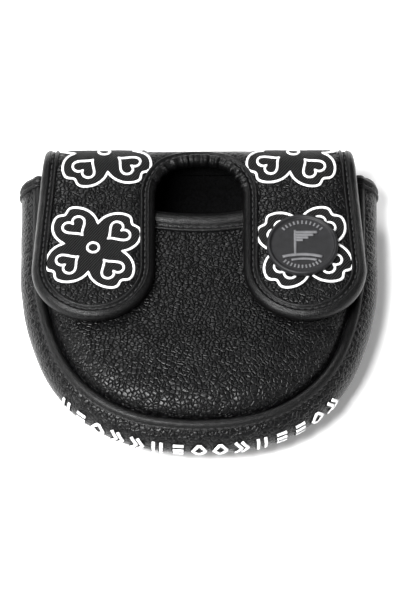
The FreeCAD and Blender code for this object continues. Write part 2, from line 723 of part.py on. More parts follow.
node(common("FlapLeather", flap_slab("FlapLeatherSlab", ZERO, leather), seam_plan), "flap_leather")
flap_foam_full = common("FlapFoamFull", flap_slab("FlapFoamSlab", leather, lining_near), foam_plan)
flap_foam_z = plan_height - lining_near
tab_magnets = magnets("TabMagnet", flap_foam_z + (foam - magnet_thickness) * 0.5)
node(cut("FlapFoam", flap_foam_full, fuse_all("TabPockets", tab_magnets)), "flap_foam")
node(tab_magnets[0], "left_tab_magnet")
node(tab_magnets[1], "right_tab_magnet")
flap_lining_slab = flap_slab("FlapLiningSlab", lining_near, flap_thickness)
node(common("FlapLining", flap_lining_slab, seam_plan), "flap_lining")

whole_flap = common("WholeFlap", flap_slab("WholeFlapSlab", ZERO, flap_thickness), edge_plan)
edge_strip = cut("EdgeStrip", whole_flap, seam_plan)
edge_fold = cut("EdgeFold", edge_strip, flap_foam_full)

# The binding is cut in three where the tabs' inner sides begin: one round the slot, two outside.
slot_half = dim("tab_x") - dim("tab_bend") + binding_width + SLOT_GAP
slot_box = block("SlotBox", slot_half * 2, dim("flap_back_y") - dim("tab_y"), dim("pouch_height"),
                 -slot_half, dim("tab_y"), dim("fold_z"))
node(common("SlotBinding", edge_fold, slot_box), "slot_binding")
outer_binding = cut("OuterBinding", edge_fold, slot_box)
for side_name, x in (("Left", -(dim("half_width") + SPARE)), ("Right", ZERO)):
    half_box = block(f"{side_name}Half", dim("half_width") + SPARE, dim("toe_reach") * 2,
                     dim("pouch_height"), x, -dim("toe_reach"), dim("fold_z"))
    node(common(f"{side_name}EdgeBinding", outer_binding, half_box),
         f"{side_name.lower()}_edge_binding")

# ---------------------------------------------------------------- embroidered emblems

thread, leaf_size, leaf_reach = dim("thread"), dim("leaf_size"), dim("leaf_reach")
MIRROR = {"Left": -1.0, "Right": 1.0}


def clover(name, x, y, z, turn=None):
    """Four round leaves about a centre, as one prism along Z or, turned, along Y."""
    leaves = []
    for index in range(4):
        across = leaf_reach * (1 if index % 2 else -1)
        along = leaf_reach * (1 if index > 1 else -1)
        if turn is None:
            centre = (x + across, y + along, z)
        else:
            centre = (x + across, y, z + along)
        leaves.append(disc(f"{name}Leaf{index}", leaf_size, dim("fold_bend") + SPARE, *centre, turn))
    return fuse_all(name, leaves)


thread_slab = flap_slab("ThreadSlab", -thread, ZERO, EMBLEM_START)
for side_name, side in MIRROR.items():
    x = dim("tab_x") * side
    lower = clover(f"{side_name}LowerClover", x, dim("emblem_y"), dim("fold_z"))
    node(common(f"{side_name}LowerEmblem", thread_slab, lower), f"{side_name.lower()}_lower_emblem")
    upper_y = dim("emblem_y") + dim("emblem_pitch")
    upper_x = x * UPPER_EMBLEM_PART
    upper = clover(f"{side_name}UpperClover", upper_x, upper_y, dim("fold_z"))
    inside = common(f"{side_name}UpperPart", upper, seam_plan)
    node(common(f"{side_name}UpperEmblem", thread_slab, inside), f"{side_name.lower()}_upper_emblem")
    wall_y = dim("root_y") + dim("root_bend")
    back = clover(f"{side_name}BackClover", upper_x, wall_y + thread, dim("root_bend") * 2,
                  FreeCAD.Rotation(V(1, 0, 0), 90))
    wall_slab = block(f"{side_name}BackThread", dim("tab_x") * 2, thread,
                      dim("fold_z") - dim("root_bend"), -dim("tab_x") + upper_x, wall_y,
                      dim("root_bend"))
    node(common(f"{side_name}BackEmblem", wall_slab, back), f"{side_name.lower()}_back_emblem")

# ---------------------------------------------------------------- badge

badge_x, badge_y = dim("badge_x"), dim("badge_y")
badge_size, badge_thickness = dim("badge_size"), dim("badge_thickness")
badge_z = plan_height + thread
badge_wall, cup_wall = dim("badge_wall"), dim("cup_wall")
pocket_size = badge_size - badge_wall
pocket_depth = badge_thickness - badge_wall
cup_inner = pocket_size - cup_wall
badge_solid = disc("BadgeSolid", badge_size, badge_thickness, badge_x, badge_y, badge_z)
badge_round = doc.addObject("Part::Fillet", "BadgeRound")
badge_round.Base = badge_solid
doc.recompute()
top_edge = max(range(len(badge_solid.Shape.Edges)),
               key=lambda i: badge_solid.Shape.Edges[i].BoundBox.ZMin)
rounding = dim("badge_round").number
badge_round.Edges = [(top_edge + 1, rounding, rounding)]
badge_pocket = disc("BadgePocket", pocket_size, pocket_depth, badge_x, badge_y, badge_z)
node(cut("BadgeCover", badge_round, badge_pocket), "badge_cover")
cup_hollow = disc("CupHollow", cup_inner, pocket_depth - cup_wall, badge_x, badge_y, badge_z)
node(cut("BadgeCup", badge_pocket, cup_hollow), "badge_cup")
node(cup_hollow, "badge_magnet")

# ---------------------------------------------------------------- check and write

doc.recompute()
faults = []
for item in doc.Objects:
    if "Invalid" in item.State or "Error" in item.State:
        faults.append(f"{item.Name}: {item.State}")
for item in nodes:
    if item.Shape.isNull() or not item.Shape.isValid() or not item.Shape.Solids:
        faults.append(f"{item.Label}: no valid solid")
if faults:
    raise SystemExit("\n".join(faults))

os.makedirs(PARTS_FOLDER, exist_ok=True)
for item in nodes:
    item.Shape.exportStep(os.path.join(PARTS_FOLDER, item.Label + ".step"))
    box = item.Shape.BoundBox
    print(f"{item.Label:24s} solids {len(item.Shape.Solids):2d}  volume {item.Shape.Volume:9.1f}  "
          f"x {box.XMin:6.1f} {box.XMax:6.1f}  y {box.YMin:6.1f} {box.YMax:6.1f}  "
          f"z {box.ZMin:5.1f} {box.ZMax:5.1f}")
print(len(nodes), "nodes")
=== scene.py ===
"""Looks of a mallet putter head cover: a padded leather pouch with a two-tabbed magnetic flap."""
import math

import bpy
import numpy as np
from mathutils import Matrix, Vector


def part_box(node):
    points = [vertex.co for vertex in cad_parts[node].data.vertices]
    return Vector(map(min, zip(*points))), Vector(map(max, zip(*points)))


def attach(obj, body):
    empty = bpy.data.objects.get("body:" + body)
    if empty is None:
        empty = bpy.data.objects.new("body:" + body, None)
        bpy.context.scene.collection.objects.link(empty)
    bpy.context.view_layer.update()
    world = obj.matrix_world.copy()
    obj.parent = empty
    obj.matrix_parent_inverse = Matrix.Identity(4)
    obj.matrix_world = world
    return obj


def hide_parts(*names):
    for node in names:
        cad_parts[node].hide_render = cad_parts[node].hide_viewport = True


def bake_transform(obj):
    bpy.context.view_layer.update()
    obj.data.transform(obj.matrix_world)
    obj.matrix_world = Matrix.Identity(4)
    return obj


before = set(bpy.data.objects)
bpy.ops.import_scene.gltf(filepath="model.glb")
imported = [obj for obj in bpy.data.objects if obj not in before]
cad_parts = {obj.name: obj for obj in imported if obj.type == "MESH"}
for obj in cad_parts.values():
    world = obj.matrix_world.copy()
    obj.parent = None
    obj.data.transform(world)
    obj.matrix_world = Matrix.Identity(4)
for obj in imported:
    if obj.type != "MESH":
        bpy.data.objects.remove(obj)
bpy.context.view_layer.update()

# ------------------------------------------------------------------------------------------------
# Gusset: one band of black pebble-grain leather, sewn between the two piped seams all round the
# D. Foam behind it pushes it out into a round bulge, and it puckers a little along both seams.
# ------------------------------------------------------------------------------------------------
MM = 0.001
POUCH_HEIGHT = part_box("front_panel")[1][2] / MM
HALF_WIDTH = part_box("gusset")[1][0] / MM
MOUTH_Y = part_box("front_piping")[1][1] / MM
TOE_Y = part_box("gusset")[0][1] / MM
TOE_BEND, CORNER_BEND, FLANK_BEND, FLANK_Y = 94.0, 54.0, 120.0, 16.0


def d_path(count):
    """The outside of the D from the left mouth corner round the toe to the right one.

    Straight sides, then flank, corner and toe arcs that touch each other, sampled at even steps
    of length. Returns points, outward normals (both count x 2) and the distance along, in mm.
    """
    toe = np.array([0.0, TOE_Y + TOE_BEND])
    flank = np.array([HALF_WIDTH - FLANK_BEND, FLANK_Y])
    near, far = TOE_BEND - CORNER_BEND, FLANK_BEND - CORNER_BEND
    gap = flank - toe
    apart = np.hypot(*gap)
    along = (apart ** 2 + near ** 2 - far ** 2) / (2 * apart)
    unit = gap / apart
    corner = toe + unit * along + np.array([-unit[1], unit[0]]) * math.sqrt(near ** 2 - along ** 2)
    first = math.atan2(corner[1] - toe[1], corner[0] - toe[0])
    second = math.atan2(corner[1] - flank[1], corner[0] - flank[0])
    side = MOUTH_Y - FLANK_Y
    spans = np.array([side, FLANK_BEND * -second, CORNER_BEND * (second - first),
                      TOE_BEND * (math.pi + 2 * first)])
    edges = np.cumsum(np.concatenate([[0], spans, spans[2::-1]]))
    distance = np.linspace(0, edges[-1], count)
    folded = np.minimum(distance, edges[-1] - distance)
    on_flank = np.clip(folded - edges[1], 0, spans[1]) / FLANK_BEND
    on_corner = np.clip(folded - edges[2], 0, spans[2]) / CORNER_BEND
    on_toe = np.clip(folded - edges[3], 0, spans[3]) / TOE_BEND
    angle = -(on_flank + on_corner + on_toe)
    normal = np.stack([np.cos(angle), np.sin(angle)], 1)
    centre = np.where((folded > edges[3])[:, None], toe,
                      np.where((folded > edges[2])[:, None], corner, flank))
    radius = np.where(folded > edges[3], TOE_BEND, np.where(folded > edges[2], CORNER_BEND,
                                                            FLANK_BEND))
    points = centre + normal * radius[:, None]
    points[:, 1] += np.maximum(side - folded, 0)
    left = (distance < edges[-1] / 2)[:, None] * np.array([-2.0, 0.0]) + 1
    return points * left, normal * left, distance


def waves(u, v, seed, count=7, longest=1.0):
    """Smooth unevenness between about -1 and 1: a sum of seeded sine waves in two parameters."""
    chance = np.random.default_rng(seed)
    total = np.zeros(np.broadcast(u, v).shape)
    for index in range(count):
        heading = chance.uniform(0, 2 * math.pi)
        rate = 2 * math.pi / longest * (1 + 0.55 * index)
        phase = chance.uniform(0, 2 * math.pi)
        total += np.sin(rate * (u * math.cos(heading) + v * math.sin(heading)) + phase) / (1 + index)
    return total / 2.2


def mesh_object(name, points, faces, uv=None):
    """A smooth mesh object from points in mm (count x 3) and lists of faces, uv for each point."""
    mesh = bpy.data.meshes.new(name)
    mesh.from_pydata((points * MM).tolist(), [], faces)
    if uv is not None:
        layer = mesh.uv_layers.new(name="UVMap")
        corners = np.empty(len(mesh.loops), dtype=np.int32)
        mesh.loops.foreach_get("vertex_index", corners)
        layer.data.foreach_set("uv", uv[corners].astype(np.float32).ravel())
    mesh.polygons.foreach_set("use_smooth", np.ones(len(mesh.polygons), dtype=bool))
    mesh.update()
    item = bpy.data.objects.new(name, mesh)
    bpy.context.collection.objects.link(item)
    return item


def surface(name, points, uv=None, closed=False, facing=(0, 0, 1)):
    """A mesh object from a grid of points in mm (rows x columns x 3), with a UV map from uv.

    closed joins the last column to the first, as on a tube, and fills the tube's two ends. A
    closed surface faces outwards, and an open one has its middle cell turned towards facing.
    """
    rows, columns = points.shape[:2]
    index = np.arange(rows * columns).reshape(rows, columns)
    if closed:
        index = np.hstack([index, index[:, :1]])
    quads = np.stack([index[:-1, :-1], index[:-1, 1:], index[1:, 1:], index[1:, :-1]], -1)
    flat = points.reshape(-1, 3)
    corner = flat[quads]
    across = np.cross(corner[:, :, 2] - corner[:, :, 0], corner[:, :, 3] - corner[:, :, 1])
    if closed:
        backwards = (across * (corner.mean(2) - flat.mean(0))).sum() < 0
    else:
        middle = across[across.shape[0] // 2, across.shape[1] // 2]
        backwards = np.dot(middle, facing) < 0
    faces = quads.reshape(-1, 4)
    caps = [index[0, :-1][::-1], index[-1, :-1]] if closed else []
    if backwards:
        faces = faces[:, ::-1]
        caps = [cap[::-1] for cap in caps]
    faces = faces.tolist() + [cap.tolist() for cap in caps]
    return mesh_object(name, flat, faces, None if uv is None else uv.reshape(-1, 2))


def new_material(name, roughness, specular=0.5):
    """An empty node material: returns it, its node tree and its shader."""
    material = bpy.data.materials.new(name)
    material.use_nodes = True
    tree = material.node_tree
    shader = tree.nodes["Principled BSDF"]
    shader.inputs["Roughness"].default_value = roughness
    shader.inputs["Specular IOR Level"].default_value = specular
    return material, tree, shader


def link(tree, source, socket, target, name):
    """Join a node's output socket to another node's input."""
    tree.links.new(source.outputs[socket], target.inputs[name])


def coordinates(tree, scale, kind="Object"):
    """Object or UV coordinates, scaled by a Mapping node."""
    source = tree.nodes.new("ShaderNodeTexCoord")
    mapping = tree.nodes.new("ShaderNodeMapping")
    mapping.inputs["Scale"].default_value = (scale,) * 3
    link(tree, source, kind, mapping, "Vector")
    return mapping


def noise(tree, place, scale, detail, distortion=0.0):
    """A noise texture read at the given coordinates."""
    node = tree.nodes.new("ShaderNodeTexNoise")
    for name, value in (("Scale", scale), ("Detail", detail), ("Distortion", distortion)):
        node.inputs[name].default_value = value
    link(tree, place, "Vector", node, "Vector")
    return node


def ramp(tree, source, socket, stops):
    """A colour ramp over a texture's value. stops are (position, grey or colour)."""
    node = tree.nodes.new("ShaderNodeValToRGB")
    elements = node.color_ramp.elements
    while len(elements) < len(stops):
        elements.new(0.5)
    for element, (position, colour) in zip(elements, stops):
        element.position = position
        element.color = (*colour, 1) if isinstance(colour, tuple) else (colour,) * 3 + (1,)
    link(tree, source, socket, node, "Fac")
    return node


def tint(tree, shader, source, socket, stops):
    """Colour a shader by a ramp over a texture's value."""
    link(tree, ramp(tree, source, socket, stops), "Color", shader, "Base Color")


def bump(tree, shader, layers):
    """Chain bumps into the shader. layers are (node, socket, strength, distance in m)."""
    last = None
    for source, socket, strength, distance in layers:
        node = tree.nodes.new("ShaderNodeBump")
        node.inputs["Strength"].default_value = strength
        node.inputs["Distance"].default_value = distance
        link(tree, source, socket, node, "Height")
        if last is not None:
            link(tree, last, "Normal", node, "Normal")
        last = node
    link(tree, last, "Normal", shader, "Normal")


def leather(name, pebble, depth, roughness, dark, light, seed, gloss=0.18):
    """Black leather: rounded pebbles between creases, with fine pores and rubbed high spots.

    Pebbles are the smooth distance to Voronoi cell edges, on coordinates bent by noise. pebble is
    their size in mm and depth their height in mm. The colour goes from dark in the creases to light
    on the pebbles' tops: painted shade in the creases. The rubbed high spots are roughness and bump.
    """
    material, tree, shader = new_material(name, roughness, gloss)
    place = coordinates(tree, 1 / (pebble * MM))
    place.inputs["Location"].default_value = (seed, seed * 0.7, seed * 0.3)
    drift = noise(tree, place, 1.1, 2.0)
    bent = tree.nodes.new("ShaderNodeVectorMath")
    bent.operation = "MULTIPLY_ADD"
    link(tree, drift, "Color", bent, 0)
    bent.inputs[1].default_value = (0.5, 0.5, 0.5)
    link(tree, place, "Vector", bent, 2)
    cells = tree.nodes.new("ShaderNodeTexVoronoi")
    cells.feature = "DISTANCE_TO_EDGE"
    cells.inputs["Scale"].default_value = 1.0
    link(tree, bent, "Vector", cells, "Vector")
    fine = noise(tree, place, 5.0, 3.0)
    broad = noise(tree, place, 0.11, 3.0)
    pebbles = ramp(tree, cells, "Distance", [(0.0, 0.0), (0.07, 0.55), (0.2, 0.88), (0.5, 1.0)])
    # Painted shade: the colour is darker in the creases between pebbles (dark) than on their tops (light).
    tint(tree, shader, cells, "Distance", [(0.02, dark), (0.25, light)])
    shine = tree.nodes.new("ShaderNodeMapRange")
    shine.inputs["To Min"].default_value = roughness - 0.09
    shine.inputs["To Max"].default_value = roughness + 0.12
    link(tree, broad, "Fac", shine, "Value")
    link(tree, shine, "Result", shader, "Roughness")
    bump(tree, shader, [(broad, "Fac", 0.35, 0.9 * MM), (pebbles, "Color", 1.0, depth * MM),
                        (fine, "Fac", 0.25, depth * 0.25 * MM)])
    return material


def finish(item, material, body):
    """Give a piece its material and attach it to its body; a piece given no body is left unattached."""
    item.data.materials.append(material)
    if body is not None:
        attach(item, body)
    return item


# dark is the painted shade in the creases, light the colour on the pebbles' tops.
pebble_leather = leather("pebble_leather", pebble=1.6, depth=0.3, roughness=0.31, dark=0.0003,
                         light=(0.0036, 0.0036, 0.0039), seed=3.0)
BAND_BULGE, BAND_ANGLE = 8.0, math.radians(60)
PUCKER = 0.16
MID_HEIGHT = POUCH_HEIGHT / 2
path, outward, reach = d_path(420)


def on_band(points, normals, angle, proud):
    """Points on the gusset's bulging section, angle up from its middle, proud mm outside it.

    The section is an arc of BAND_BULGE mm, centred that far inside the outline's points.
    """
    depth = BAND_BULGE - (BAND_BULGE + proud) * np.cos(angle)
    level = points - normals * depth[..., None]
    height = MID_HEIGHT + (BAND_BULGE + proud) * np.sin(angle)
    return np.concatenate([level, height[..., None]], -1)


turn = np.linspace(-BAND_ANGLE, BAND_ANGLE, 33)[None, :] + np.zeros((len(path), 1))
along = reach[:, None] + np.zeros((1, turn.shape[1]))
near_seam = np.clip((np.abs(turn) / BAND_ANGLE - 0.45) / 0.55, 0, 1)
pucker = PUCKER * near_seam * np.sin(along * 1.9 + 2 * waves(along, turn, 5, longest=40))
uneven = 0.25 * waves(along, turn * 9, 11, longest=46)
band = on_band(path[:, None], outward[:, None], turn, pucker + uneven)
gusset = surface("gusset_leather", band, np.stack([along, turn * BAND_BULGE], -1), facing=(0, -1, 0))
finish(gusset, pebble_leather, "pouch")
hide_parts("gusset")

# ------------------------------------------------------------------------------------------------
# Piping: a thin smooth leather sleeve sewn round a soft cord, caught in each seam between the
# gusset and a panel. Its sewn flange shows as a narrow step outside it, with stitches sunk in.
# ------------------------------------------------------------------------------------------------
PIPE_SIZE = (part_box("front_piping")[1][2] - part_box("front_piping")[0][2]) / 2 / MM
PIPE_INSET = 6.4
FRONT_SEAM_Z = (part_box("front_piping")[1][2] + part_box("front_piping")[0][2]) / 2 / MM
BACK_SEAM_Z = POUCH_HEIGHT - FRONT_SEAM_Z
# The same painted shade: darker in the fine creases (dark) than on their tops (light).
smooth_leather = leather("smooth_leather", pebble=0.6, depth=0.05, roughness=0.34, dark=0.0008,
                         light=(0.0024, 0.0024, 0.0026), seed=9.0, gloss=0.2)


def carried(points, normals, inset, height, profile):
    """A profile carried along a level path: its columns are (outwards, upwards) offsets in mm.

    inset and height place the profile's origin; profile is (count x 2) or (path x count x 2).
    """
    profile = np.broadcast_to(profile, (len(points),) + profile.shape[-2:])
    level = points[:, None, :] + normals[:, None, :] * (profile[..., :1] - inset)
    return np.concatenate([level, profile[..., 1:] + height], -1)


def ring(radius, count):
    """A circle of (outwards, upwards) offsets."""
    angle = np.linspace(0, 2 * np.pi, count, endpoint=False)
    return np.stack([np.cos(angle), np.sin(angle)], -1) * radius


def pipe_uv(grid, length, around):
    """UV over a tube's grid: the length along it, and from 0 to around in mm round it."""
    across = np.linspace(0, around, grid.shape[1])[None]
    return np.stack(np.broadcast_arrays(length[:, None], across), -1)


for side_name, height, seed in (("front", FRONT_SEAM_Z, 21), ("back", BACK_SEAM_Z, 22)):
    uneven = 1 + 0.035 * waves(reach, reach * 0, seed, longest=23)[:, None, None]
    sleeve = carried(path, outward, PIPE_INSET, height, ring(PIPE_SIZE, 20)[None] * uneven)
    pipe = surface(f"{side_name}_piping_sleeve", sleeve, pipe_uv(sleeve, reach, 12.6),
                   closed=True)
    finish(pipe, smooth_leather, "pouch")
    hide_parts(f"{side_name}_piping")
    upward = 1 if side_name == "front" else -1
    flange_profile = np.array([[1.1, 0.55], [2.2, 0.35], [2.75, -0.25], [2.7, -1.5], [1.6, -1.9],
                               [0.9, -0.4]]) * [1, upward]
    step = np.array([0, 0.5, 0.9, 0.9, 0.3, 0])[None, :] * 0.12 * np.sin(reach * 2.1)[:, None]
    wavy = flange_profile[None] + np.stack([step, step * upward], -1)
    flange = surface(f"{side_name}_piping_flange", carried(path, outward, PIPE_INSET, height, wavy),
                     closed=True)
    finish(flange, smooth_leather, "pouch")

# ------------------------------------------------------------------------------------------------
# Padded panels: pebble-grain leather over foam, front and back. They are cut a little full, so
# the foam crowns them up from the piping, and they dive into a groove beside it.
# ------------------------------------------------------------------------------------------------
PANEL_INSET = 8.5
MOUTH_BINDING = 7.4
SCOOP_BEND, SCOOP_Y = 85.0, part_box("front_mouth_binding")[0][1] / MM + MOUTH_BINDING


def panel_grid(toe_inset, mouth_of, rows, columns):
    """Level points over the D: rows from the toe to the mouth, columns from side to side.

    Each column runs straight along y from the toe's outline to the mouth edge, and both rows and
    columns lie closer together near the outline.
    """
    across = np.linspace(-1, 1, columns)
    across = 0.25 * across + 0.75 * np.sin(across * np.pi / 2)
    forward = np.linspace(0, 1, rows)
    forward = 0.4 * forward + 0.6 * (0.5 - 0.5 * np.cos(forward * np.pi))
    x_far = across * (HALF_WIDTH - toe_inset)
    y_toe = outline_y(x_far, toe_inset)
    y = y_toe[None] + (mouth_of(x_far) - y_toe)[None] * forward[:, None]
    return np.broadcast_to(x_far[None], y.shape), y


def outline_y(x, inset):
    """The y of the D's toe side at each x, at an inset: the outline read the other way."""
    points, normals, _ = d_path(3000)
    edge = (points - normals * inset)[len(points) // 2:]
    low = edge[edge[:, 1] <= FLANK_Y + 0.01]
    order = np.argsort(low[:, 0])
    return np.interp(np.abs(x), low[order, 0], low[order, 1])


def to_outline(x, y, inset):
    """Distance in mm from each point to the D's outline at an inset, inside counted positive."""
    points, normals, _ = d_path(700)
    edge = points - normals * inset
    flat = np.stack([x.ravel(), y.ravel()], 1)
    gap = np.empty(len(flat))
    for start in range(0, len(flat), 4000):
        piece = flat[start:start + 4000]
        gap[start:start + 4000] = np.sqrt(((piece[:, None] - edge[None]) ** 2).sum(-1)).min(1)
    return gap.reshape(x.shape)


def scoop_line(shift):
    """The front mouth edge moved by shift towards the toe, as a function of x."""
    bend = SCOOP_BEND + shift
    return lambda x: SCOOP_Y + SCOOP_BEND - np.sqrt(bend ** 2 - np.minimum(np.abs(x), 60) ** 2)


def crown(gap, height, width):
    """Rise of a padded panel at a distance from its seam: an oval quarter, then level."""
    part = np.clip(gap / width, 0, 1)
    return height * (1 - (1 - part) ** 2.1) ** 0.52


def puff(item, held, pressure, limit, frames=20):
    """Swell a panel like filled fabric: a cloth simulation under pressure with its seam held.

    held is the weight of each vertex in the pinned group. No point may end further than limit mm
    from where it started.
    """
    start = np.empty(len(item.data.vertices) * 3)
    item.data.vertices.foreach_get("co", start)
    group = item.vertex_groups.new(name="seam")
    for weight in np.unique(held):
        group.add(np.flatnonzero(held == weight).tolist(), float(weight), "REPLACE")
    cloth = item.modifiers.new("puff", "CLOTH")
    settings = cloth.settings
    settings.vertex_group_mass = "seam"
    settings.use_pressure = True
    settings.uniform_pressure_force = pressure
    settings.effector_weights.gravity = 0
    settings.quality = 5
    settings.mass = 0.2
    settings.tension_stiffness = settings.compression_stiffness = 12
    settings.shear_stiffness = 6
    settings.bending_stiffness = 1.5
    cloth.collision_settings.use_collision = False
    cloth.point_cache.frame_start, cloth.point_cache.frame_end = 1, frames
    scene = bpy.context.scene
    for frame_number in range(1, frames + 1):
        scene.frame_set(frame_number)
    done = item.evaluated_get(bpy.context.evaluated_depsgraph_get()).to_mesh()
    moved = np.empty(len(start))
    done.vertices.foreach_get("co", moved)
    item.to_mesh_clear()
    item.modifiers.remove(cloth)
    item.vertex_groups.clear()
    scene.frame_set(1)
    shift = (moved - start).reshape(-1, 3)
    length = np.linalg.norm(shift, axis=1, keepdims=True)
    shift *= np.minimum(1, limit * MM / np.maximum(length, 1e-9))
    item.data.vertices.foreach_set("co", (start.reshape(-1, 3) + shift).ravel())
    item.data.update()


def thicken(item, thickness):
    """Give a sheet its thickness in mm, on the side away from its normals."""
    wall = item.modifiers.new("thickness", "SOLIDIFY")
    wall.thickness = thickness * MM
    wall.offset = -1
    wall.use_rim = True
    return item


GROOVE, CROWN_WIDTH = 1.6, 8.6
LEATHER_THICKNESS = 1.0
SEAM_HELD, PUFF_PRESSURE, PUFF_LIMIT = 1.0, 3.0, 1.1


def ease(value, start, end):
    """Goes from 0 to 1 as value goes from start to end, level at both."""
    part = np.clip((value - start) / (end - start), 0, 1)
    return part * part * (3 - 2 * part)


def panel_rise(gap):
    """Height above the groove of a panel's surface at a distance from its seam.

    The rounded side runs on into a long gentle shoulder before the panel is level.
    """
    shoulder = 0.95 * ease(gap, 0, 4) * (1 - ease(gap, 5, 24))
    return crown(gap, POUCH_HEIGHT - FRONT_SEAM_Z + GROOVE, CROWN_WIDTH) - shoulder


def panel_surface(x, y, seed):
    """Height above the seam's level of a padded panel, with its unevenness and seam puckers."""
    gap = to_outline(x, y, PANEL_INSET)
    soft = np.clip(gap / 9, 0, 1)
    pucker = np.sin(np.arctan2(y - 10, x) * 74 + 2 * waves(x, y, seed, longest=50))
    pucker = PUCKER * pucker * np.clip(1 - gap / 7, 0, 1) * np.clip(gap / 1.5, 0, 1)
    crowned = 0.9 * ease(gap, 9, 30) * ease(-y, 15, 27)
    uneven = soft * (0.26 * waves(x, y, seed + 1, longest=52) - 0.2)
    return panel_rise(gap) - GROOVE + crowned + uneven + pucker


TAB_CLEARANCE_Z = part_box("flap_leather")[1][2] / MM - 4.7
BACK_END_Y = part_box("back_panel")[1][1] / MM
for side_name, seed in (("front", 31), ("back", 41)):
    is_front = side_name == "front"
    mouth_of = scoop_line(MOUTH_BINDING - 1.2) if is_front else (lambda x: x * 0 + BACK_END_Y + 0.6)
    x, y = panel_grid(PANEL_INSET, mouth_of, 96, 150)
    gap = to_outline(x, y, PANEL_INSET)
    rise = panel_surface(x, y, seed)
    z = FRONT_SEAM_Z + rise if is_front else np.maximum(BACK_SEAM_Z - rise, 0.0)
    grid = np.stack([x, y, z], -1)
    panel = surface(f"{side_name}_panel_leather", grid, np.stack([x, y], -1),
                    facing=(0, 0, 1 if is_front else -1))
    if is_front:
        seam = (gap < SEAM_HELD).ravel()
        seam |= (np.arange(grid.shape[0]) >= grid.shape[0] - 2).repeat(grid.shape[1])
        puff(panel, seam.astype(float), PUFF_PRESSURE, PUFF_LIMIT)
        place = np.empty(len(panel.data.vertices) * 3)
        panel.data.vertices.foreach_get("co", place)
        place = place.reshape(-1, 3)
        ceiling = TAB_CLEARANCE_Z + 1.2 * ease(-place[:, 1] / MM, 15, 27)
        place[:, 2] = np.minimum(place[:, 2], ceiling * MM)
        panel.data.vertices.foreach_set("co", place.ravel())
        panel.data.update()
    thicken(panel, LEATHER_THICKNESS)
    finish(panel, pebble_leather, "pouch")
    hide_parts(f"{side_name}_panel", f"{side_name}_foam")

# ------------------------------------------------------------------------------------------------
# Mouth bindings: strips of smooth leather folded over the raw edges of the mouth and stitched
# through. One runs along the sagging front edge, and a short one closes each end of the gusset,
# wrapped over the ends of both pipings.
# ------------------------------------------------------------------------------------------------
BINDING_WIDTH = 5.5
STITCH_INSET = 1.95


def folded_edge(width, top, under, swell=0.15, tight=0.9, points=9):
    """Closed section of a binding as (in from the edge, up) pairs.

    It starts at the top seam with a turned rib, dips at the stitches, swells over the padded edge
    and comes back to the seam underneath. tight sets how blunt the rolled edge is.
    """
    middle, half = (top + under) / 2, (top - under) / 2
    sweep = np.linspace(np.pi / 2, -np.pi / 2, points)
    round_in = half * tight
    edge = np.stack([round_in - round_in * np.cos(sweep), middle + half * np.sin(sweep)], -1)
    rib = np.array([[0, -0.85], [0.12, -0.2], [0.45, 0.14], [0.85, 0.16], [1.2, -0.05], [1.5, -0.6],
                    [STITCH_INSET, -0.8], [2.35, -0.55], [2.8, 0.02]])
    rib = np.stack([width - rib[:, 0], top + rib[:, 1]], -1)
    roll_in = np.linspace(width - 3.1, round_in, 4)[:-1]
    lift = swell * np.sin((width - 2.7 - roll_in) / (width - 2.7 - round_in * 0.4) * np.pi)
    roll = np.stack([roll_in, top + lift], -1)
    lower = [[width - 1.5, under], [width - 0.3, under + 0.15], [width, under + 0.8]]
    return np.concatenate([rib, roll, edge, lower])


def front_surface_z(x, y):
    """Height of the front panel at level points, without its puckers: where a binding lies."""
    gap = to_outline(x, y, PANEL_INSET)
    return FRONT_SEAM_Z - GROOVE + panel_rise(gap) - 0.2


MOUTH_ROLL, MOUTH_END = 1.3, 50.8
mouth_x = np.linspace(-1, 1, 160) * MOUTH_END
mouth_edge = np.stack([mouth_x, scoop_line(-MOUTH_ROLL)(mouth_x)], -1)
mouth_in = mouth_edge - np.array([0, SCOOP_Y + SCOOP_BEND])
mouth_in /= np.linalg.norm(mouth_in, axis=1, keepdims=True)
section = folded_edge(MOUTH_BINDING + MOUTH_ROLL, 0.75, -4.4, swell=1.3, tight=0.75)
level = mouth_edge[:, None] + mouth_in[:, None] * section[None, :, :1]
seam_line = mouth_edge + mouth_in * (MOUTH_BINDING + MOUTH_ROLL)
height = front_surface_z(seam_line[:, 0], seam_line[:, 1])[:, None] + section[None, :, 1]
ripple = 0.22 * waves(mouth_x, mouth_x * 0, 51, longest=19)[:, None] * (section[None, :, 0] < 5.0)
mouth_grid = np.concatenate([level, (height + ripple)[..., None]], -1)
mouth_binding = surface("front_mouth_binding_leather", mouth_grid, closed=True)
finish(mouth_binding, smooth_leather, "pouch")
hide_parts("front_mouth_binding")


def gusset_section():
    """The gusset's outer section at the mouth as (inset, up) pairs: the bulge and both pipings.

    An arc over the bulge runs into an arc over the piping, and averaging rounds the join.
    """
    bulge, over = np.linspace(0, 0.9, 16), np.linspace(0.45, 2.5, 14)
    seam_up = FRONT_SEAM_Z - MID_HEIGHT
    upper = np.concatenate([
        np.stack([BAND_BULGE - BAND_BULGE * np.cos(bulge), BAND_BULGE * np.sin(bulge)], -1),
        np.stack([PIPE_INSET - PIPE_SIZE * np.cos(over), seam_up + PIPE_SIZE * np.sin(over)], -1)])
    whole = np.concatenate([upper[:0:-1] * [1, -1], upper])
    for _ in range(4):
        whole[1:-1] = (whole[:-2] + 2 * whole[1:-1] + whole[2:]) / 4
    return whole


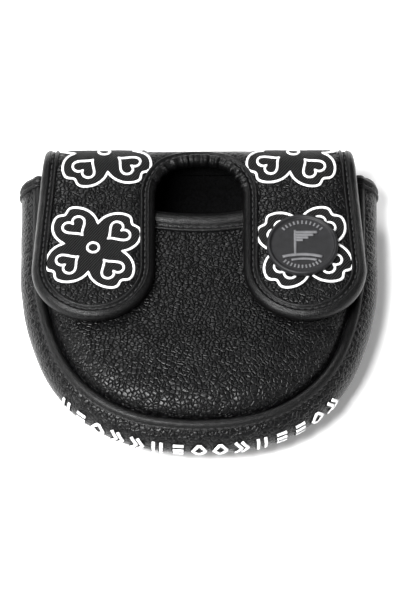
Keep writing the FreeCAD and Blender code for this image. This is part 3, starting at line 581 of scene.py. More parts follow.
SIDES = (("left", -1), ("right", 1))
for side_name, side in SIDES:
    line = gusset_section()
    along_line = np.gradient(line, axis=0)
    along_line /= np.linalg.norm(along_line, axis=1, keepdims=True)
    room = np.where(np.abs(line[:, 1]) > 5.5, 1.7, 3.6)[:, None]
    section = folded_edge(BINDING_WIDTH, 0.55, -3.6)[None]
    run = np.arange(len(line))[:, None] * 0.8
    up = np.maximum(section[..., 1], -room) + 0.1 * waves(run, section[..., 0], 61, longest=9)
    points = np.stack(np.broadcast_arrays(
        side * (HALF_WIDTH - line[:, :1] + along_line[:, 1:] * up), MOUTH_Y + 0.5 - section[..., 0],
        MID_HEIGHT + line[:, 1:] + along_line[:, :1] * up), -1)
    ending = surface(f"{side_name}_gusset_binding", points, closed=True)
    finish(ending, smooth_leather, "pouch")
    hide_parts(f"{side_name}_mouth_binding")

# ------------------------------------------------------------------------------------------------
# Pouch lining: black pile fleece, sewn into a pocket that holds the putter's head. Two crowned
# halves meet half way up, and the pile stands up in small tufts.
# ------------------------------------------------------------------------------------------------
def fleece_material():
    """Pile fleece: curled tufts from two noises, light at their tips, with a soft sheen."""
    material, tree, shader = new_material("pile_fleece", 0.95, 0.05)
    place = coordinates(tree, 1 / (1.1 * MM))
    tuft = noise(tree, place, 1.0, 4.0, distortion=0.5)
    hair = noise(tree, place, 6.0, 3.0)
    tint(tree, shader, tuft, "Fac", [(0.32, 0.0001), (0.7, (0.0016, 0.0016, 0.0018))])
    bump(tree, shader, [(tuft, "Fac", 1.0, 1.0 * MM), (hair, "Fac", 0.7, 0.25 * MM)])
    shader.inputs["Sheen Weight"].default_value = 0.004
    shader.inputs["Sheen Roughness"].default_value = 0.6
    return material


fleece = fleece_material()
LINING_INSET, LINING_CROWN, LINING_MOUTH_Y = 7.6, 12.0, 53.0
LINING_HALF = POUCH_HEIGHT / 2 - 5.3
for side_name, up in (("front", 1), ("back", -1)):
    mouth_of = scoop_line(1.2) if up > 0 else (lambda x: x * 0 + LINING_MOUTH_Y)
    x, y = panel_grid(LINING_INSET, mouth_of, 110, 150)
    rise = crown(to_outline(x, y, LINING_INSET), LINING_HALF, LINING_CROWN)
    rise = rise - 0.35 * (waves(x, y, 71, count=12, longest=5.5) + 1) * (rise > 0.5)
    lining = surface(f"{side_name}_lining_fleece", np.stack([x, y, MID_HEIGHT + up * rise], -1),
                     np.stack([x, y], -1), facing=(0, 0, -up))
    thicken(lining, 1.2)
    finish(lining, fleece, "pouch")
    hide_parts(f"{side_name}_lining")
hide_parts("gusset_lining")

# ------------------------------------------------------------------------------------------------
# Flap: one piece of pebble-grain leather over foam and a fleece lining. It is sewn to the back
# panel, rises behind the mouth, folds over it and ends in two round tabs beside the shaft slot.
# ------------------------------------------------------------------------------------------------
FLAP_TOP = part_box("flap_leather")[1][2] / MM
WALL_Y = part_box("bridge_leather")[1][1] / MM
FOLD_BEND, ROOT_BEND = 12.5, 8.0
FOLD_Y, FOLD_Z = WALL_Y - FOLD_BEND, FLAP_TOP - FOLD_BEND
ROOT_Y = WALL_Y - ROOT_BEND
FLAP_THICKNESS = 4.5
QUARTER = math.pi / 2
WALL_START = FOLD_BEND * QUARTER
ROOT_START = WALL_START + FOLD_Z - ROOT_BEND
ROOT_END = ROOT_START + ROOT_BEND * QUARTER
TAB_TIP_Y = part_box("left_edge_binding")[0][1] / MM
TAB_BEND, TAB_X = 22.3, 38.3
TAB_S = TAB_TIP_Y + TAB_BEND - FOLD_Y
SLOT_BEND = TAB_X - TAB_BEND
SLOT_S = 36.0 - FOLD_Y
EDGE_X, EDGE_FLARE = 56.2, math.radians(4.7)
TANGENT_X, TANGENT_S = TAB_BEND * math.cos(EDGE_FLARE), TAB_BEND * math.sin(EDGE_FLARE)
FLARE_S = TAB_S + TANGENT_S + (TAB_X + TANGENT_X - EDGE_X) / math.tan(EDGE_FLARE)


def on_flap(x, s, lift):
    """Points on the flap: x across, s along its outer surface from the start of the fold, lift off it.

    Below zero s runs level along the tabs. Then it goes round the fold, straight down the bridge,
    round the root's bend and level again underneath the pouch. The outer corners of the tabs
    droop a little over the panel's rounded edge.
    """
    x, s, lift = np.broadcast_arrays(x, s, lift)
    fold = np.clip(s / FOLD_BEND, 0, QUARTER)
    root = np.clip((s - ROOT_START) / ROOT_BEND, 0, QUARTER)
    down = np.clip(s - WALL_START, 0, ROOT_START - WALL_START)
    on_root = s > ROOT_START
    y = FOLD_Y + np.minimum(s, 0) + (FOLD_BEND + lift) * np.sin(fold)
    z = FOLD_Z + (FOLD_BEND + lift) * np.cos(fold) - down
    y = np.where(on_root, ROOT_Y + (ROOT_BEND + lift) * np.cos(root) - np.maximum(s - ROOT_END, 0), y)
    z = np.where(on_root, ROOT_BEND - (ROOT_BEND + lift) * np.sin(root), z)
    flat = np.clip(-s / 14, 0, 1)
    droop = 1.5 * np.clip((np.abs(x) - 47) / 14, 0, 1) ** 2 + 0.25 * np.clip((-s - 47) / 18, 0, 1) ** 2
    return np.stack([x, y, z - flat * flat * (3 - 2 * flat) * droop], -1)


def outer_edge(s, inset):
    """The x of the flap's outer edge along s: flared over the tabs, straight down the bridge."""
    flare = np.logaddexp(0, (FLARE_S - s) / 2.0) * 2.0 * math.tan(EDGE_FLARE)
    return EDGE_X + flare - inset


def tab_edges(s, inset):
    """Inner and outer x of the right half of the flap at each s, at an inset from its edge."""
    tab = TAB_BEND - inset
    beside_tab = np.sqrt(np.maximum(tab ** 2 - (s - TAB_S) ** 2, 0))
    slot = SLOT_BEND + inset
    beside_slot = np.sqrt(np.maximum(slot ** 2 - np.maximum(s - SLOT_S, 0) ** 2, 0))
    inner = np.where(s < TAB_S, TAB_X - beside_tab, beside_slot)
    near_tab = s < TAB_S + tab * math.sin(EDGE_FLARE)
    outer = np.where(near_tab, np.minimum(TAB_X + beside_tab, outer_edge(s, inset)), outer_edge(s, inset))
    return inner, outer


def half_rows(inset, end, tip_rows, side_rows, slot_rows, back_rows):
    """The s of each row: close together round the tab's tip and round the end of the slot."""
    tip = TAB_S - (TAB_BEND - inset) * np.cos(np.linspace(0, QUARTER, tip_rows))
    side = np.linspace(TAB_S, SLOT_S, side_rows)[1:]
    slot = SLOT_S + (SLOT_BEND + inset) * np.sin(np.linspace(0, QUARTER, slot_rows))[1:]
    back = np.linspace(slot[-1], end, back_rows)[1:]
    return np.concatenate([tip, side, slot, back])


def flap_half(inset, end, columns, side):
    """Grid of (x, s) over one half of the flap, from its tab's tip to s = end."""
    s = half_rows(inset, end, tip_rows=22, side_rows=46, slot_rows=26, back_rows=16)
    inner, outer = tab_edges(s, inset)
    part = np.linspace(0, 1, columns)
    part = 0.5 * part + 0.5 * (0.5 - 0.5 * np.cos(part * np.pi))
    x = inner[:, None] + (outer - inner)[:, None] * part[None]
    return side * x, np.broadcast_to(s[:, None], x.shape)


def from_seam(x, s, inset):
    """Roughly the distance in mm to the seam round the flap's face, for its padding."""
    right = np.abs(x)
    to_outer = outer_edge(s, inset) - right
    to_slot = np.where(s < SLOT_S, right - SLOT_BEND - inset,
                       np.hypot(right, s - SLOT_S) - SLOT_BEND - inset)
    to_tip = TAB_BEND - inset - np.hypot(right - TAB_X, s - TAB_S)
    near_tip = np.where(s < TAB_S, to_tip, 1e3)
    to_slot = np.where(s < TAB_S, 1e3, to_slot)
    to_outer = np.where(s < TAB_S, 1e3, to_outer)
    return np.maximum(np.minimum(np.minimum(to_outer, to_slot), near_tip), 0)


def face_lift(x, s, inset):
    """Height of the flap's face above its plain surface: low at the seam, padded further in."""
    gap = from_seam(x, s, inset)
    padded = 0.95 * (1 - np.exp(-gap / 2.6)) - 0.75 - 0.25 * np.clip((s - ROOT_START) / 4, 0, 1)
    pucker = 0.10 * np.exp(-gap / 2.5) * np.sin(2.2 * (x * 0.8 + s) + 3 * waves(x, s, 3, longest=40))
    return padded + pucker + 0.16 * waves(x, s, 81, longest=38) * np.clip(gap / 6, 0, 1)


def joined(name, pieces):
    """One object from several meshes, with vertices that coincide merged."""
    bpy.ops.object.select_all(action="DESELECT")
    for piece in pieces:
        piece.select_set(True)
    bpy.context.view_layer.objects.active = pieces[0]
    if len(pieces) > 1:
        bpy.ops.object.join()
    item = pieces[0]
    item.name = item.data.name = name
    bpy.ops.object.mode_set(mode="EDIT")
    bpy.ops.mesh.select_all(action="SELECT")
    bpy.ops.mesh.remove_doubles(threshold=0.00002)
    bpy.ops.object.mode_set(mode="OBJECT")
    return item


FACE_INSET = 5.0
BRIDGE_SEAM = WALL_START + 6.0


def flap_sheets(name, lift_of, inset, material, under, thickness):
    """The front sheet from the tabs to the bridge and the back sheet from there to the root.

    lift_of gives a sheet's height off the flap's surface at (x, s). A sheet that is under the flap
    faces down, and each is given its thickness and material.
    """
    halves = []
    for side in (1, -1):
        x, s = flap_half(inset, BRIDGE_SEAM, 56, side)
        halves.append(surface(name, on_flap(x, s, lift_of(x, s)), np.stack([x, s], -1),
                              facing=(0, 0, -1 if under else 1)))
    front = joined(name + "_front", halves)
    s = np.linspace(BRIDGE_SEAM, ROOT_END + 5.5, 70)[:, None]
    x = np.linspace(-1, 1, 112)[None] * outer_edge(s, inset)
    back = surface(name + "_bridge", on_flap(x, s, lift_of(x, s)),
                   np.stack(np.broadcast_arrays(x, s), -1), facing=(0, -1 if under else 1, -0.5))
    for piece in (front, back):
        thicken(piece, thickness)
        piece.data.materials.append(material)
    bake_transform(front)
    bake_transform(back)
    return front, back


def lining_lift(x, s):
    """Height of the flap's lining above its outer surface: the flap's thickness down, and tufted."""
    tufts = 0.15 * (waves(x, s, 72, count=12, longest=9.0) + 1)
    return -FLAP_THICKNESS + 0.5 + tufts - 0.35


flap_front, flap_back = flap_sheets(
    "flap_leather", lambda x, s: face_lift(x, s, FACE_INSET), FACE_INSET, pebble_leather,
    under=False, thickness=LEATHER_THICKNESS)
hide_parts("flap_leather")
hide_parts("bridge_leather", "flap_root")
lining_front, lining_back = flap_sheets(
    "flap_lining", lining_lift, FACE_INSET, fleece, under=True, thickness=0.8)
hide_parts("flap_lining")
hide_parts("bridge_lining")

# ------------------------------------------------------------------------------------------------
# Flap bindings: smooth leather strips folded over the flap's edges and sewn through. The strip in
# the slot gathers round the slot's end, and two short strips go down the sides of the bridge.
# ------------------------------------------------------------------------------------------------
BINDING_TOP, BINDING_UNDER = 0.35, -4.65


def even_steps(points, step):
    """The same line sampled at even steps of its length: points are (x, s) pairs."""
    length = np.concatenate([[0], np.cumsum(np.linalg.norm(np.diff(points, axis=0), axis=1))])
    wanted = np.linspace(0, length[-1], max(int(length[-1] / step), 8))
    return np.stack([np.interp(wanted, length, points[:, k]) for k in (0, 1)], 1), wanted


def edge_line(bottom):
    """The right tab's outline in (x, s): up the outer edge from s = bottom, round the tab, to the slot."""
    s = np.linspace(bottom, TAB_S + TANGENT_S, 90)
    outer = np.stack([outer_edge(s, 0), s], 1)
    angle = np.linspace(EDGE_FLARE, -math.pi, 90)
    tab = np.stack([TAB_X + TAB_BEND * np.cos(angle), TAB_S + TAB_BEND * np.sin(angle)], 1)
    return np.concatenate([outer, tab[1:], [[SLOT_BEND, TAB_S + 9]]])


def slot_line():
    """The slot's outline in (x, s), from the right tab's side round the slot's end to the left."""
    angle = np.linspace(0, math.pi, 90)
    end = np.stack([SLOT_BEND * np.cos(angle), SLOT_S + SLOT_BEND * np.sin(angle)], 1)
    return np.concatenate([[[SLOT_BEND, TAB_S + 9]], end, [[-SLOT_BEND, TAB_S + 9]]])


def inwards(line, towards):
    """Unit normals of an (x, s) line, on its left where towards is 1 and on its right where -1."""
    along = np.gradient(line, axis=0)
    along /= np.linalg.norm(along, axis=1, keepdims=True)
    return np.stack([-along[:, 1], along[:, 0]], 1) * towards


def bound_edge(name, line, towards, gathered=0.0):
    """A binding along an (x, s) line: a folded strip's section carried along it on the flap.

    gathered is the height in mm of the small folds that its edge makes round the slot's end.
    """
    points, length = even_steps(line, 0.45)
    normal = inwards(points, towards)
    section = folded_edge(BINDING_WIDTH, BINDING_TOP, BINDING_UNDER)
    place_x = points[:, :1] + normal[:, :1] * section[None, :, 0]
    place_s = points[:, 1:] + normal[:, 1:] * section[None, :, 0]
    lift = section[None, :, 1] + 0.12 * waves(place_x, place_s, 91, longest=17) * (section[:, 0] < 4.8)
    round_end = np.clip((points[:, 1:] - SLOT_S - 2) / 5, 0, 1) * (np.abs(points[:, :1]) < SLOT_BEND + 1)
    near_edge = np.clip(1 - np.abs(section[None, :, 0] - 0.6) / 2.6, 0, 1)
    fold = 2.4 * np.abs(waves(length, length * 0, 92, count=9, longest=6.0))[:, None]
    fold = gathered * round_end * near_edge * (fold - 0.9)
    place_x, place_s = place_x - normal[:, :1] * fold, place_s - normal[:, 1:] * fold
    grid = on_flap(place_x, place_s, lift + fold * 0.8)
    return surface(name, grid, pipe_uv(grid, length, 14.0), closed=True)


def bridge_edge(side):
    """One side edge of the bridge in (x, s), from under the pouch up to the seam on the bridge."""
    return np.stack([np.full(60, side * EDGE_X), np.linspace(ROOT_END + 3, BRIDGE_SEAM, 60)], 1)


right_edge = edge_line(BRIDGE_SEAM)
whole_edge = np.concatenate([right_edge[:-1], slot_line(), (right_edge * [-1, 1])[-2::-1]])
flap_binding = bound_edge("flap_binding_leather", whole_edge, -1, gathered=1.0)
finish(flap_binding, smooth_leather, None)
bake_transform(flap_binding)
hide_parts("slot_binding", "left_edge_binding", "right_edge_binding")
for side_name, side in SIDES:
    strip = bound_edge(f"{side_name}_bridge_binding_leather", bridge_edge(side), -side)
    finish(strip, smooth_leather, None)
    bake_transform(strip)
    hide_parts(f"{side_name}_bridge_binding")

# ------------------------------------------------------------------------------------------------
# Stitches: rows of black thread through every binding and beside the piping. Each stitch is a
# short bead of thread, sunk at both ends.
# ------------------------------------------------------------------------------------------------
TWIST = 0.42


def thread_material(name, dark, light, shine):
    """Twisted embroidery thread: a sine ridge each TWIST mm along the UV map, uneven in tone."""
    material, tree, shader = new_material(name, shine, 0.4)
    place = coordinates(tree, 1.0, "UV")
    split = tree.nodes.new("ShaderNodeSeparateXYZ")
    link(tree, place, "Vector", split, "Vector")
    scale = tree.nodes.new("ShaderNodeMath")
    scale.operation = "MULTIPLY"
    scale.inputs[1].default_value = 2 * math.pi / TWIST
    link(tree, split, "X", scale, 0)
    ridge = tree.nodes.new("ShaderNodeMath")
    ridge.operation = "SINE"
    link(tree, scale, "Value", ridge, 0)
    grain = noise(tree, coordinates(tree, 1.0), 1.1 / MM, 3.0)
    tint(tree, shader, grain, "Fac", [(0.3, dark), (0.65, light)])
    bump(tree, shader, [(ridge, "Value", 0.5, 0.06 * MM), (grain, "Fac", 0.5, 0.1 * MM)])
    shader.inputs["Sheen Weight"].default_value = 0.02
    return material


black_thread = thread_material("black_thread", 0.0008, (0.004, 0.004, 0.0045), 0.6)
white_thread = thread_material("white_thread", (0.5, 0.5, 0.51), 0.92, 0.5)


def beads(centres, ahead, up, length, width, height):
    """Grids of small beads: ovals of a length, width and height set along ahead at each centre.

    Returns points (beads x rings x sides x 3). Ring radius follows a half sine with blunt ends.
    """
    ahead = ahead / np.linalg.norm(ahead, axis=1, keepdims=True)
    aside = np.cross(ahead, up)
    aside /= np.linalg.norm(aside, axis=1, keepdims=True)
    lift = np.cross(aside, ahead)
    part = np.array([-0.5, -0.3, 0.0, 0.3, 0.5])
    size = np.array([0.25, 0.9, 1.0, 0.9, 0.25])
    angle = np.linspace(0, 2 * np.pi, 6, endpoint=False)
    body = centres[:, None, None] + (ahead[:, None] * (part * length)[None, :, None])[:, :, None]
    circle = (aside[:, None, None] * (np.cos(angle) * width / 2)[None, None, :, None]
              + lift[:, None, None] * (np.sin(angle) * height / 2)[None, None, :, None])
    return body + circle * size[None, :, None, None]


RING_STEP, SIDE_STEP = 0.5, 0.3


def many(name, grids):
    """One mesh of many closed little tubes, each a rings x sides grid with its ends filled.

    The UV map goes up by RING_STEP for each ring along a tube and by SIDE_STEP round it.
    """
    count, rings, sides = grids.shape[:3]
    index = np.arange(rings * sides).reshape(rings, sides)
    wrapped = np.hstack([index, index[:, :1]])
    quads = np.stack([wrapped[:-1, :-1], wrapped[1:, :-1], wrapped[1:, 1:], wrapped[:-1, 1:]], -1)
    quads = quads.reshape(-1, 4)
    offset = np.arange(count) * rings * sides
    faces = (quads[None] + offset[:, None, None]).reshape(-1, 4)
    start, end = index[0], index[-1][::-1]
    caps = np.concatenate([start[None] + offset[:, None], end[None] + offset[:, None]])
    first = grids[0]
    corner = first.reshape(-1, 3)[quads]
    volume = np.cross(corner[:, 2] - corner[:, 0], corner[:, 3] - corner[:, 1])
    if (volume * (corner.mean(1) - first.reshape(-1, 3).mean(0))).sum() < 0:
        faces, caps = faces[:, ::-1], caps[:, ::-1]
    point = np.arange(count * rings * sides)
    uv = np.stack([point // sides % rings * RING_STEP, point % sides * SIDE_STEP], 1)
    return mesh_object(name, grids.reshape(-1, 3), faces.tolist() + caps.tolist(), uv)


STITCH_PITCH, STITCH_LENGTH, STITCH_WIDTH, STITCH_HEIGHT = 2.6, 1.9, 0.7, 0.55


def stitch_row(points, up):
    """Beads at even steps along a dense line of points in mm, which has an upward direction at each."""
    run = np.concatenate([[0], np.cumsum(np.linalg.norm(np.diff(points, axis=0), axis=1))])
    at = np.arange(STITCH_PITCH, run[-1] - STITCH_PITCH, STITCH_PITCH)
    centres, before, after, lift = (
        np.stack([np.interp(where, run, values[:, k]) for k in range(3)], 1)
        for where, values in ((at, points), (at - 0.4, points), (at + 0.4, points), (at, up)))
    return beads(centres, after - before, lift, STITCH_LENGTH, STITCH_WIDTH, STITCH_HEIGHT)


def flap_line(line, towards, inset, lift):
    """A line on the flap at an inset from an edge line, with its upward directions."""
    points, _ = even_steps(line, 0.45)
    normal = inwards(points, towards)
    x, s = (points + normal * inset).T
    on = on_flap(x, s, lift)
    return on, on_flap(x, s, lift + 1) - on


STITCH_IN = BINDING_WIDTH - STITCH_INSET
STITCH_LIFT = BINDING_TOP - 0.62
flap_stitches = many("flap_stitches", stitch_row(*flap_line(whole_edge, -1, STITCH_IN, STITCH_LIFT)))
finish(flap_stitches, black_thread, None)
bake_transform(flap_stitches)

rows = [stitch_row(*flap_line(bridge_edge(side), -side, STITCH_IN, STITCH_LIFT)) for side in (-1, 1)]
for seam_s in (ROOT_END + 2.0, ROOT_END + 4.6):
    across = np.stack([np.linspace(-1, 1, 90) * (EDGE_X - 6), np.full(90, seam_s)], 1)
    rows.append(stitch_row(*flap_line(across, 1, 0.0, -0.72)))
bridge_stitches = many("bridge_stitches", np.concatenate(rows))
finish(bridge_stitches, black_thread, None)
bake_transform(bridge_stitches)

rows = []
for height, upward in ((FRONT_SEAM_Z, 1), (BACK_SEAM_Z, -1)):
    line = carried(path, outward, PIPE_INSET, height, np.array([[1.95, 0.42 * upward]]))[:, 0]
    rows.append(stitch_row(line, np.concatenate([outward * 0.3, np.full((len(path), 1), upward)], 1)))
mouth_stitch = mouth_grid[:, 6] + np.array([0, 0, 0.1])
rows.append(stitch_row(mouth_stitch, np.tile([0, 0, 1.0], (len(mouth_stitch), 1))))
for side in (-1, 1):
    turn = np.linspace(-0.95, 0.95, 40)
    radial = np.stack([side * np.cos(turn), turn * 0, np.sin(turn)], 1)
    centre = np.array([side * (HALF_WIDTH - BAND_BULGE), MOUTH_Y - STITCH_IN, MID_HEIGHT])
    rows.append(stitch_row(centre + radial * (BAND_BULGE + 0.5), radial))
pouch_stitches = many("pouch_stitches", np.concatenate(rows))
finish(pouch_stitches, black_thread, "pouch")

# ------------------------------------------------------------------------------------------------
# Emblems: four-leaf clovers embroidered on the flap, one on each tab and one across each side of
# the fold. Black thread fills them, and raised white satin lines draw each one's edge, a heart in
# each leaf and a ring at its middle.
# ------------------------------------------------------------------------------------------------
LEAF_SIZE, LEAF_REACH = 8.6, 8.0
EMBLEM_S = (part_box("left_lower_emblem")[0][1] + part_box("left_lower_emblem")[1][1]) / 2 / MM - FOLD_Y
EMBLEM_PITCH = 43.5


def clover_reach(angle):
    """Distance from a clover's centre to its edge: the outside of four discs, each with a notch."""
    part = (angle % QUARTER) - QUARTER / 2
    far = LEAF_REACH * math.sqrt(2)
    notch = 1.9 * np.exp(-(part / 0.11) ** 2)
    return far * np.cos(part) + np.sqrt(LEAF_SIZE ** 2 - (far * np.sin(part)) ** 2) - notch


def closed_line(x, s):
    """A closed line as (x, s) pairs, with its first two points again at its end."""
    return np.stack([np.append(x, x[:2]), np.append(s, s[:2])], 1)


def satin(line, width=0.95, height=0.42, sides=10):
    """Offsets of a raised satin line: an oval section across a line of (a, b) pairs.

    Returns a, b and lift, each points x sides, and the length along the line.
    """
    normal = inwards(line, 1)
    angle = np.linspace(0, 2 * np.pi, sides, endpoint=False)
    length = np.concatenate([[0], np.cumsum(np.linalg.norm(np.diff(line, axis=0), axis=1))])
    width = width * (1 + 0.07 * waves(length, length * 0, 101, longest=4.0))[:, None]
    a = line[:, :1] + normal[:, :1] * np.cos(angle) * width / 2
    b = line[:, 1:] + normal[:, 1:] * np.cos(angle) * width / 2
    lift = np.broadcast_to(np.maximum(np.sin(angle), -0.5) * height, a.shape)
    return a, b, lift, length


def clover_lines(x, s, turn):
    """The clover's white lines in (x, s): its edge, a heart in each leaf and a ring at its middle."""
    angle = np.linspace(0, 2 * np.pi, 260, endpoint=False)
    edge = clover_reach(angle) - 0.5
    lines = [closed_line(edge * np.cos(angle), edge * np.sin(angle))]
    angle = np.linspace(0, 2 * np.pi, 70, endpoint=False)
    for index in range(4):
        heading = QUARTER * (index + 0.5)
        side = 4.4 * np.sin(angle) ** 3
        out = 11.2 + 0.27 * (13 * np.cos(angle) - 5 * np.cos(2 * angle) - 2 * np.cos(3 * angle)
                             - np.cos(4 * angle))
        lines.append(closed_line(out * math.cos(heading) - side * math.sin(heading),
                                 out * math.sin(heading) + side * math.cos(heading)))
    lines.append(closed_line(2.1 * np.cos(angle), 2.1 * np.sin(angle)))
    spin = np.array([[math.cos(turn), math.sin(turn)], [-math.sin(turn), math.cos(turn)]])
    return [line @ spin + np.array([x, s]) for line in lines]


def on_face(x, s, lift):
    """Points lifted off the flap's padded leather face."""
    return on_flap(x, s, face_lift(x, s, FACE_INSET) + lift)


def satin_fill():
    """Black filling stitches: long threads side by side, slanting across the emblem."""
    material, tree, shader = new_material("black_fill_thread", 0.6, 0.16)
    place = coordinates(tree, 1.0, "UV")
    place.inputs["Rotation"].default_value = (0, 0, math.radians(38))
    wave = tree.nodes.new("ShaderNodeTexWave")
    for name, value in (("Scale", 0.4), ("Distortion", 1.3), ("Detail", 2.0), ("Detail Scale", 2.2)):
        wave.inputs[name].default_value = value
    link(tree, place, "Vector", wave, "Vector")
    tint(tree, shader, wave, "Fac", [(0.2, 0.0003), (0.85, 0.011)])
    bump(tree, shader, [(wave, "Fac", 1.0, 0.4 * MM)])
    shader.inputs["Sheen Weight"].default_value = 0.01
    return material


black_fill = satin_fill()
for side_name, side in SIDES:
    for level_name, centre_x, centre_s, turn in (
            ("lower", TAB_X * side, EMBLEM_S, 0.16 * side),
            ("upper", TAB_X * 0.9 * side, EMBLEM_S + EMBLEM_PITCH, -0.12 * side)):
        angle = np.linspace(0, 2 * np.pi, 161)[:, None]
        part = np.linspace(0, 1, 26)[None]
        reach_to = (clover_reach(angle - turn) - 0.3) * part
        x, s = centre_x + reach_to * np.cos(angle), centre_s + reach_to * np.sin(angle)
        fill_lift = 0.28 - 0.5 * np.clip((part - 0.97) / 0.03, 0, 1)
        fill = surface(f"{side_name}_{level_name}_emblem_fill", on_face(x, s, fill_lift),
                       np.stack([x, s], -1))
        fill = joined(fill.name, [fill])
        fill.data.materials.append(black_fill)
        ridges = []
        for line in clover_lines(centre_x, centre_s, turn):
            a, b, lift, length = satin(line)
            ridges.append(surface("line", on_face(a, b, lift + 0.3), pipe_uv(a, length, 3.0),
                                  closed=True))
        outline = joined(f"{side_name}_{level_name}_emblem_satin", ridges)
        outline.data.materials.append(white_thread)
        for piece in (fill, outline):
            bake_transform(piece)
    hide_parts(f"{side_name}_upper_emblem", f"{side_name}_back_emblem")
    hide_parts(f"{side_name}_lower_emblem")

# ------------------------------------------------------------------------------------------------
# Gusset embroidery: a row of plain satin-stitched marks round the toe in white thread, following
# the bulge of the band. Beside each lies a copy in black thread, set down and to one side of it: a
# painted shadow.
# ------------------------------------------------------------------------------------------------
MARK_COUNT, MARK_PITCH = 15, 7.6
MARK_HALF, MARK_WIDTH = 3.0, 1.3


def mark_lines(kind):
    """The strokes of one mark as (along, up) lines: two bars, a chevron, a lozenge or three rungs."""
    t = np.linspace(-1, 1, 15)
    if kind == 0:
        return [np.stack([t * 0 + offset, t * MARK_HALF], 1) for offset in (-1.4, 1.4)]
    if kind == 1:
        return [np.stack([offset - 2.2 * np.abs(t), t * MARK_HALF], 1) for offset in (0.1, 2.4)]
    if kind == 2:
        angle = np.linspace(0, 2 * np.pi, 15) + 0.01
        wide = np.abs(np.cos(angle)) + np.abs(np.sin(angle))
        return [np.stack([2.4 * np.cos(angle) / wide, MARK_HALF * np.sin(angle) / wide], 1)]
    return [np.stack([t * 1.9, t * 0 + offset], 1) for offset in (-2.2, 0.0, 2.2)]


def on_gusset(centre, a, b, lift):
    """Points on the band: a along it and b up it from a mark's centre, lift off the leather."""
    base, normal = (np.stack([np.interp(centre + a, reach, line[:, k]) for k in (0, 1)], -1)
                    for line in (path, outward))
    return on_band(base, normal, b / BAND_BULGE, lift)


marks, shadows = [], []
for index in range(MARK_COUNT):
    centre = reach[-1] / 2 + MARK_PITCH * (index - (MARK_COUNT - 1) / 2)
    for line in mark_lines((index * 3 + index // 4) % 4):
        a, b, lift, _ = satin(line, MARK_WIDTH, 0.4, 8)
        marks.append(on_gusset(centre, a, b, lift + 0.42))
        # Painted shadow: a black-thread copy of each stroke, shifted down and to one side.
        shadows.append(on_gusset(centre, a - 0.45, b - 0.4, lift * 0.7 + 0.3))
gusset_marks = many("gusset_embroidery_satin", np.stack(marks))
finish(gusset_marks, white_thread, "pouch")
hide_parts("gusset_embroidery")
gusset_shadows = many("gusset_embroidery_shadow", np.stack(shadows))
finish(gusset_shadows, black_thread, "pouch")

# ------------------------------------------------------------------------------------------------
# Badge: a round rubber ball marker that a magnet in the tab holds. It is moulded with a thin rim,
# and a flag on a green and two arcs of beads stand up from its face in paler rubber.
# ------------------------------------------------------------------------------------------------
BADGE_LOW, BADGE_HIGH = (np.array(corner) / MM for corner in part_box("badge_cover"))
BADGE_X, BADGE_Y = ((BADGE_LOW + BADGE_HIGH) / 2)[:2]
BADGE_SIZE = (BADGE_HIGH - BADGE_LOW)[0] / 2


def rubber(name, dark, light, roughness):
    """Moulded rubber: a fine matt grain, a little dust in broad patches."""
    material, tree, shader = new_material(name, roughness, 0.22)
    place = coordinates(tree, 1.0)
    fine = noise(tree, place, 4.5 / MM, 3.0)
    broad = noise(tree, place, 0.35 / MM, 4.0)
    tint(tree, shader, broad, "Fac", [(0.3, dark), (0.7, light)])
    bump(tree, shader, [(fine, "Fac", 0.35, 0.05 * MM)])
    return material


dark_rubber = rubber("dark_rubber", (0.006, 0.006, 0.0065), (0.011, 0.011, 0.012), 0.5)
grey_rubber = rubber("grey_rubber", (0.075, 0.075, 0.078), (0.11, 0.11, 0.115), 0.5)
FACE_LEVEL = 0.7
rim = np.array([[0, FACE_LEVEL], [0.4, FACE_LEVEL], [0.8, FACE_LEVEL], [0.86, FACE_LEVEL], [0.885, 0.72],
                [0.9, 0.95], [0.93, 1.0], [0.965, 0.98], [0.99, 0.85], [1.0, 0.65], [1.0, 0.3],
                [0.99, 0.04], [0.96, 0.0], [0.5, 0.0], [0, 0.0]])
angle = np.linspace(0, 2 * np.pi, 96, endpoint=False)[None]
disc_height = BADGE_LOW[2] + rim[:, 1:] * (BADGE_HIGH[2] - BADGE_LOW[2]) + 0 * angle
badge_grid = np.stack([BADGE_X + BADGE_SIZE * rim[:, :1] * np.cos(angle),
                       BADGE_Y + BADGE_SIZE * rim[:, :1] * np.sin(angle), disc_height], -1)
badge = surface("badge_cover_rubber", badge_grid, closed=True)
badge = joined(badge.name, [badge])
finish(badge, dark_rubber, "flap_front")
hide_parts("badge_cover")

FACE_Z = BADGE_LOW[2] + FACE_LEVEL * (BADGE_HIGH[2] - BADGE_LOW[2])


def on_badge(a, b, lift):
    """Points on the badge's sunk face, from its middle."""
    return np.stack([BADGE_X + a, BADGE_Y + b, FACE_Z + lift], -1)


t = np.linspace(-1, 1, 15)
strokes = [(np.stack([t * 0 - 2.6, t * 5.2 + 0.9], 1), 1.1),
           (np.stack([t * 7.2, -4.3 - 1.0 * t ** 2], 1), 1.3),
           (np.stack([t * 4.6 + 0.6, -6.2 - 0.5 * t ** 2], 1), 1.0)]
strokes += [(np.stack([-2.6 + (t + 1) * width, t * 0 + height], 1), 1.25)
            for width, height in ((4.0, 5.3), (3.3, 4.15), (2.4, 3.0), (1.4, 1.9))]
relief = []
for line, width in strokes:
    a, b, lift, _ = satin(line, width, 0.35, 8)
    relief.append(on_badge(a, b, lift + 0.1))
for start, stop, count in ((0.25, 0.75, 11), (1.27, 1.73, 11)):
    for turn in np.linspace(start * np.pi, stop * np.pi, count):
        spoke = np.array([math.cos(turn), math.sin(turn)])
        a, b, lift, _ = satin(9.6 * spoke + spoke * 0.7 * t[:, None], 0.8, 0.25, 8)
        relief.append(on_badge(a, b, lift + 0.05))
badge_relief = many("badge_relief", np.stack(relief))
finish(badge_relief, grey_rubber, "flap_front")

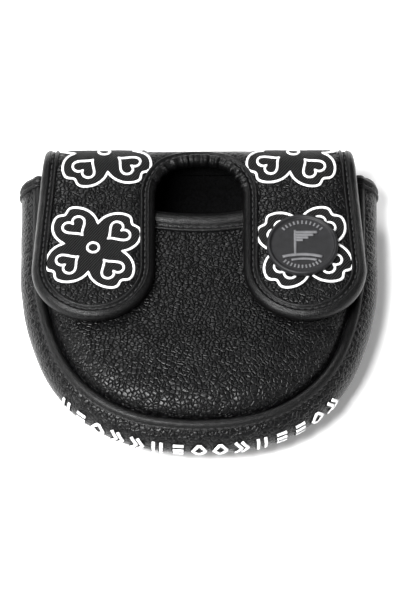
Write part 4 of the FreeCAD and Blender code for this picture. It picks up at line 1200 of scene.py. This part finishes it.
# ------------------------------------------------------------------------------------------------
# Inner pieces: foam behind the leather, soft cords in the piping, and magnets in the tabs, the
# pouch and the badge, where a steel cup holds the magnet. They keep the shapes of the frame.
# ------------------------------------------------------------------------------------------------
def speckled(name, dark, light, roughness, grain, depth, metallic=0.0):
    """A grainy finish: noise of a grain in mm sets the tone and a bump of a depth in mm."""
    material, tree, shader = new_material(name, roughness)
    grains = noise(tree, coordinates(tree, 1.0), 1 / (grain * MM), 4.0)
    tint(tree, shader, grains, "Fac", [(0.32, dark), (0.68, light)])
    bump(tree, shader, [(grains, "Fac", 0.8, depth * MM)])
    shader.inputs["Metallic"].default_value = metallic
    return material


INNER = {
    "foam": speckled("open_foam", (0.02, 0.02, 0.022), (0.075, 0.075, 0.08), 0.95, 0.5, 0.3),
    "cord": speckled("cotton_cord", (0.3, 0.29, 0.27), (0.55, 0.53, 0.5), 0.9, 0.35, 0.15),
    "magnet": speckled("nickel_plate", (0.45, 0.44, 0.42), (0.6, 0.59, 0.57), 0.28, 1.4, 0.01, 1.0),
    "cup": speckled("cup_steel", (0.32, 0.32, 0.33), (0.5, 0.5, 0.52), 0.35, 0.8, 0.02, 1.0)}
for node_name, node_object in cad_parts.items():
    for word, material in INNER.items():
        if node_name.endswith(word):
            for place in node_object.material_slots:
                place.material = material

# ------------------------------------------------------------------------------------------------
# Stage: a plain pale floor that glows a little, four soft square lights in a dim white surround
# (key above the toe, the others left, behind and right), and the camera above the toe, looking
# down at the flap.
# ------------------------------------------------------------------------------------------------
FLOOR_REACH, FLOOR_Z = 4000.0, -0.4
floor = surface("floor", np.array([[[x, y, FLOOR_Z] for x in (-FLOOR_REACH, FLOOR_REACH)]
                                   for y in (-FLOOR_REACH, FLOOR_REACH)]))
floor_material, _, floor_shader = new_material("pale_floor", 0.9, 0.1)
floor_shader.inputs["Base Color"].default_value = (0.92, 0.92, 0.92, 1)
floor_shader.inputs["Emission Color"].default_value = (1, 1, 1, 1)
floor_shader.inputs["Emission Strength"].default_value = 0.2
floor.data.materials.append(floor_material)

world = bpy.context.scene.world or bpy.data.worlds.new("studio")
bpy.context.scene.world = world
world.use_nodes = True
surround = world.node_tree.nodes["Background"]
surround.inputs["Color"].default_value = (1, 1, 1, 1)
surround.inputs["Strength"].default_value = 0.12
bpy.context.scene.view_settings.view_transform = "Standard"


def soft_light(name, place, size, power):
    """A square area light at a place in metres, turned to face the origin; power is in watts."""
    lamp = bpy.data.lights.new(name, "AREA")
    lamp.size, lamp.energy = size, power
    item = bpy.data.objects.new(name, lamp)
    item.location = place
    item.rotation_euler = (-Vector(place)).to_track_quat("-Z", "Y").to_euler()
    bpy.context.collection.objects.link(item)


soft_light("key", (-0.3, -0.5, 1.1), 0.36, 25)
soft_light("left", (-0.65, -0.4, 0.9), 0.45, 18)
soft_light("back", (-0.35, 0.8, 0.9), 0.5, 9)
soft_light("right", (0.9, -0.2, 0.5), 0.4, 1)

CAMERA_DISTANCE, CAMERA_TILT, CAMERA_ROLL = 3.0, math.radians(57), math.radians(-0.1)
IMAGE_HEIGHT_MM, SENSOR_WIDTH = 217.8, 36
aim = Vector((0.0003, 0.0021, 0.017))
camera = bpy.data.objects.new("camera", bpy.data.cameras.new("camera"))
camera.location = aim + CAMERA_DISTANCE * Vector((0, -math.cos(CAMERA_TILT), math.sin(CAMERA_TILT)))
towards = (aim - camera.location).to_track_quat("-Z", "Y")
camera.rotation_euler = (towards.to_matrix() @ Matrix.Rotation(CAMERA_ROLL, 3, "Z")).to_euler()
camera.data.sensor_width = SENSOR_WIDTH
camera.data.lens = SENSOR_WIDTH * CAMERA_DISTANCE / (IMAGE_HEIGHT_MM * MM)
camera.data.clip_end = 20
bpy.context.collection.objects.link(camera)
bpy.context.scene.camera = camera
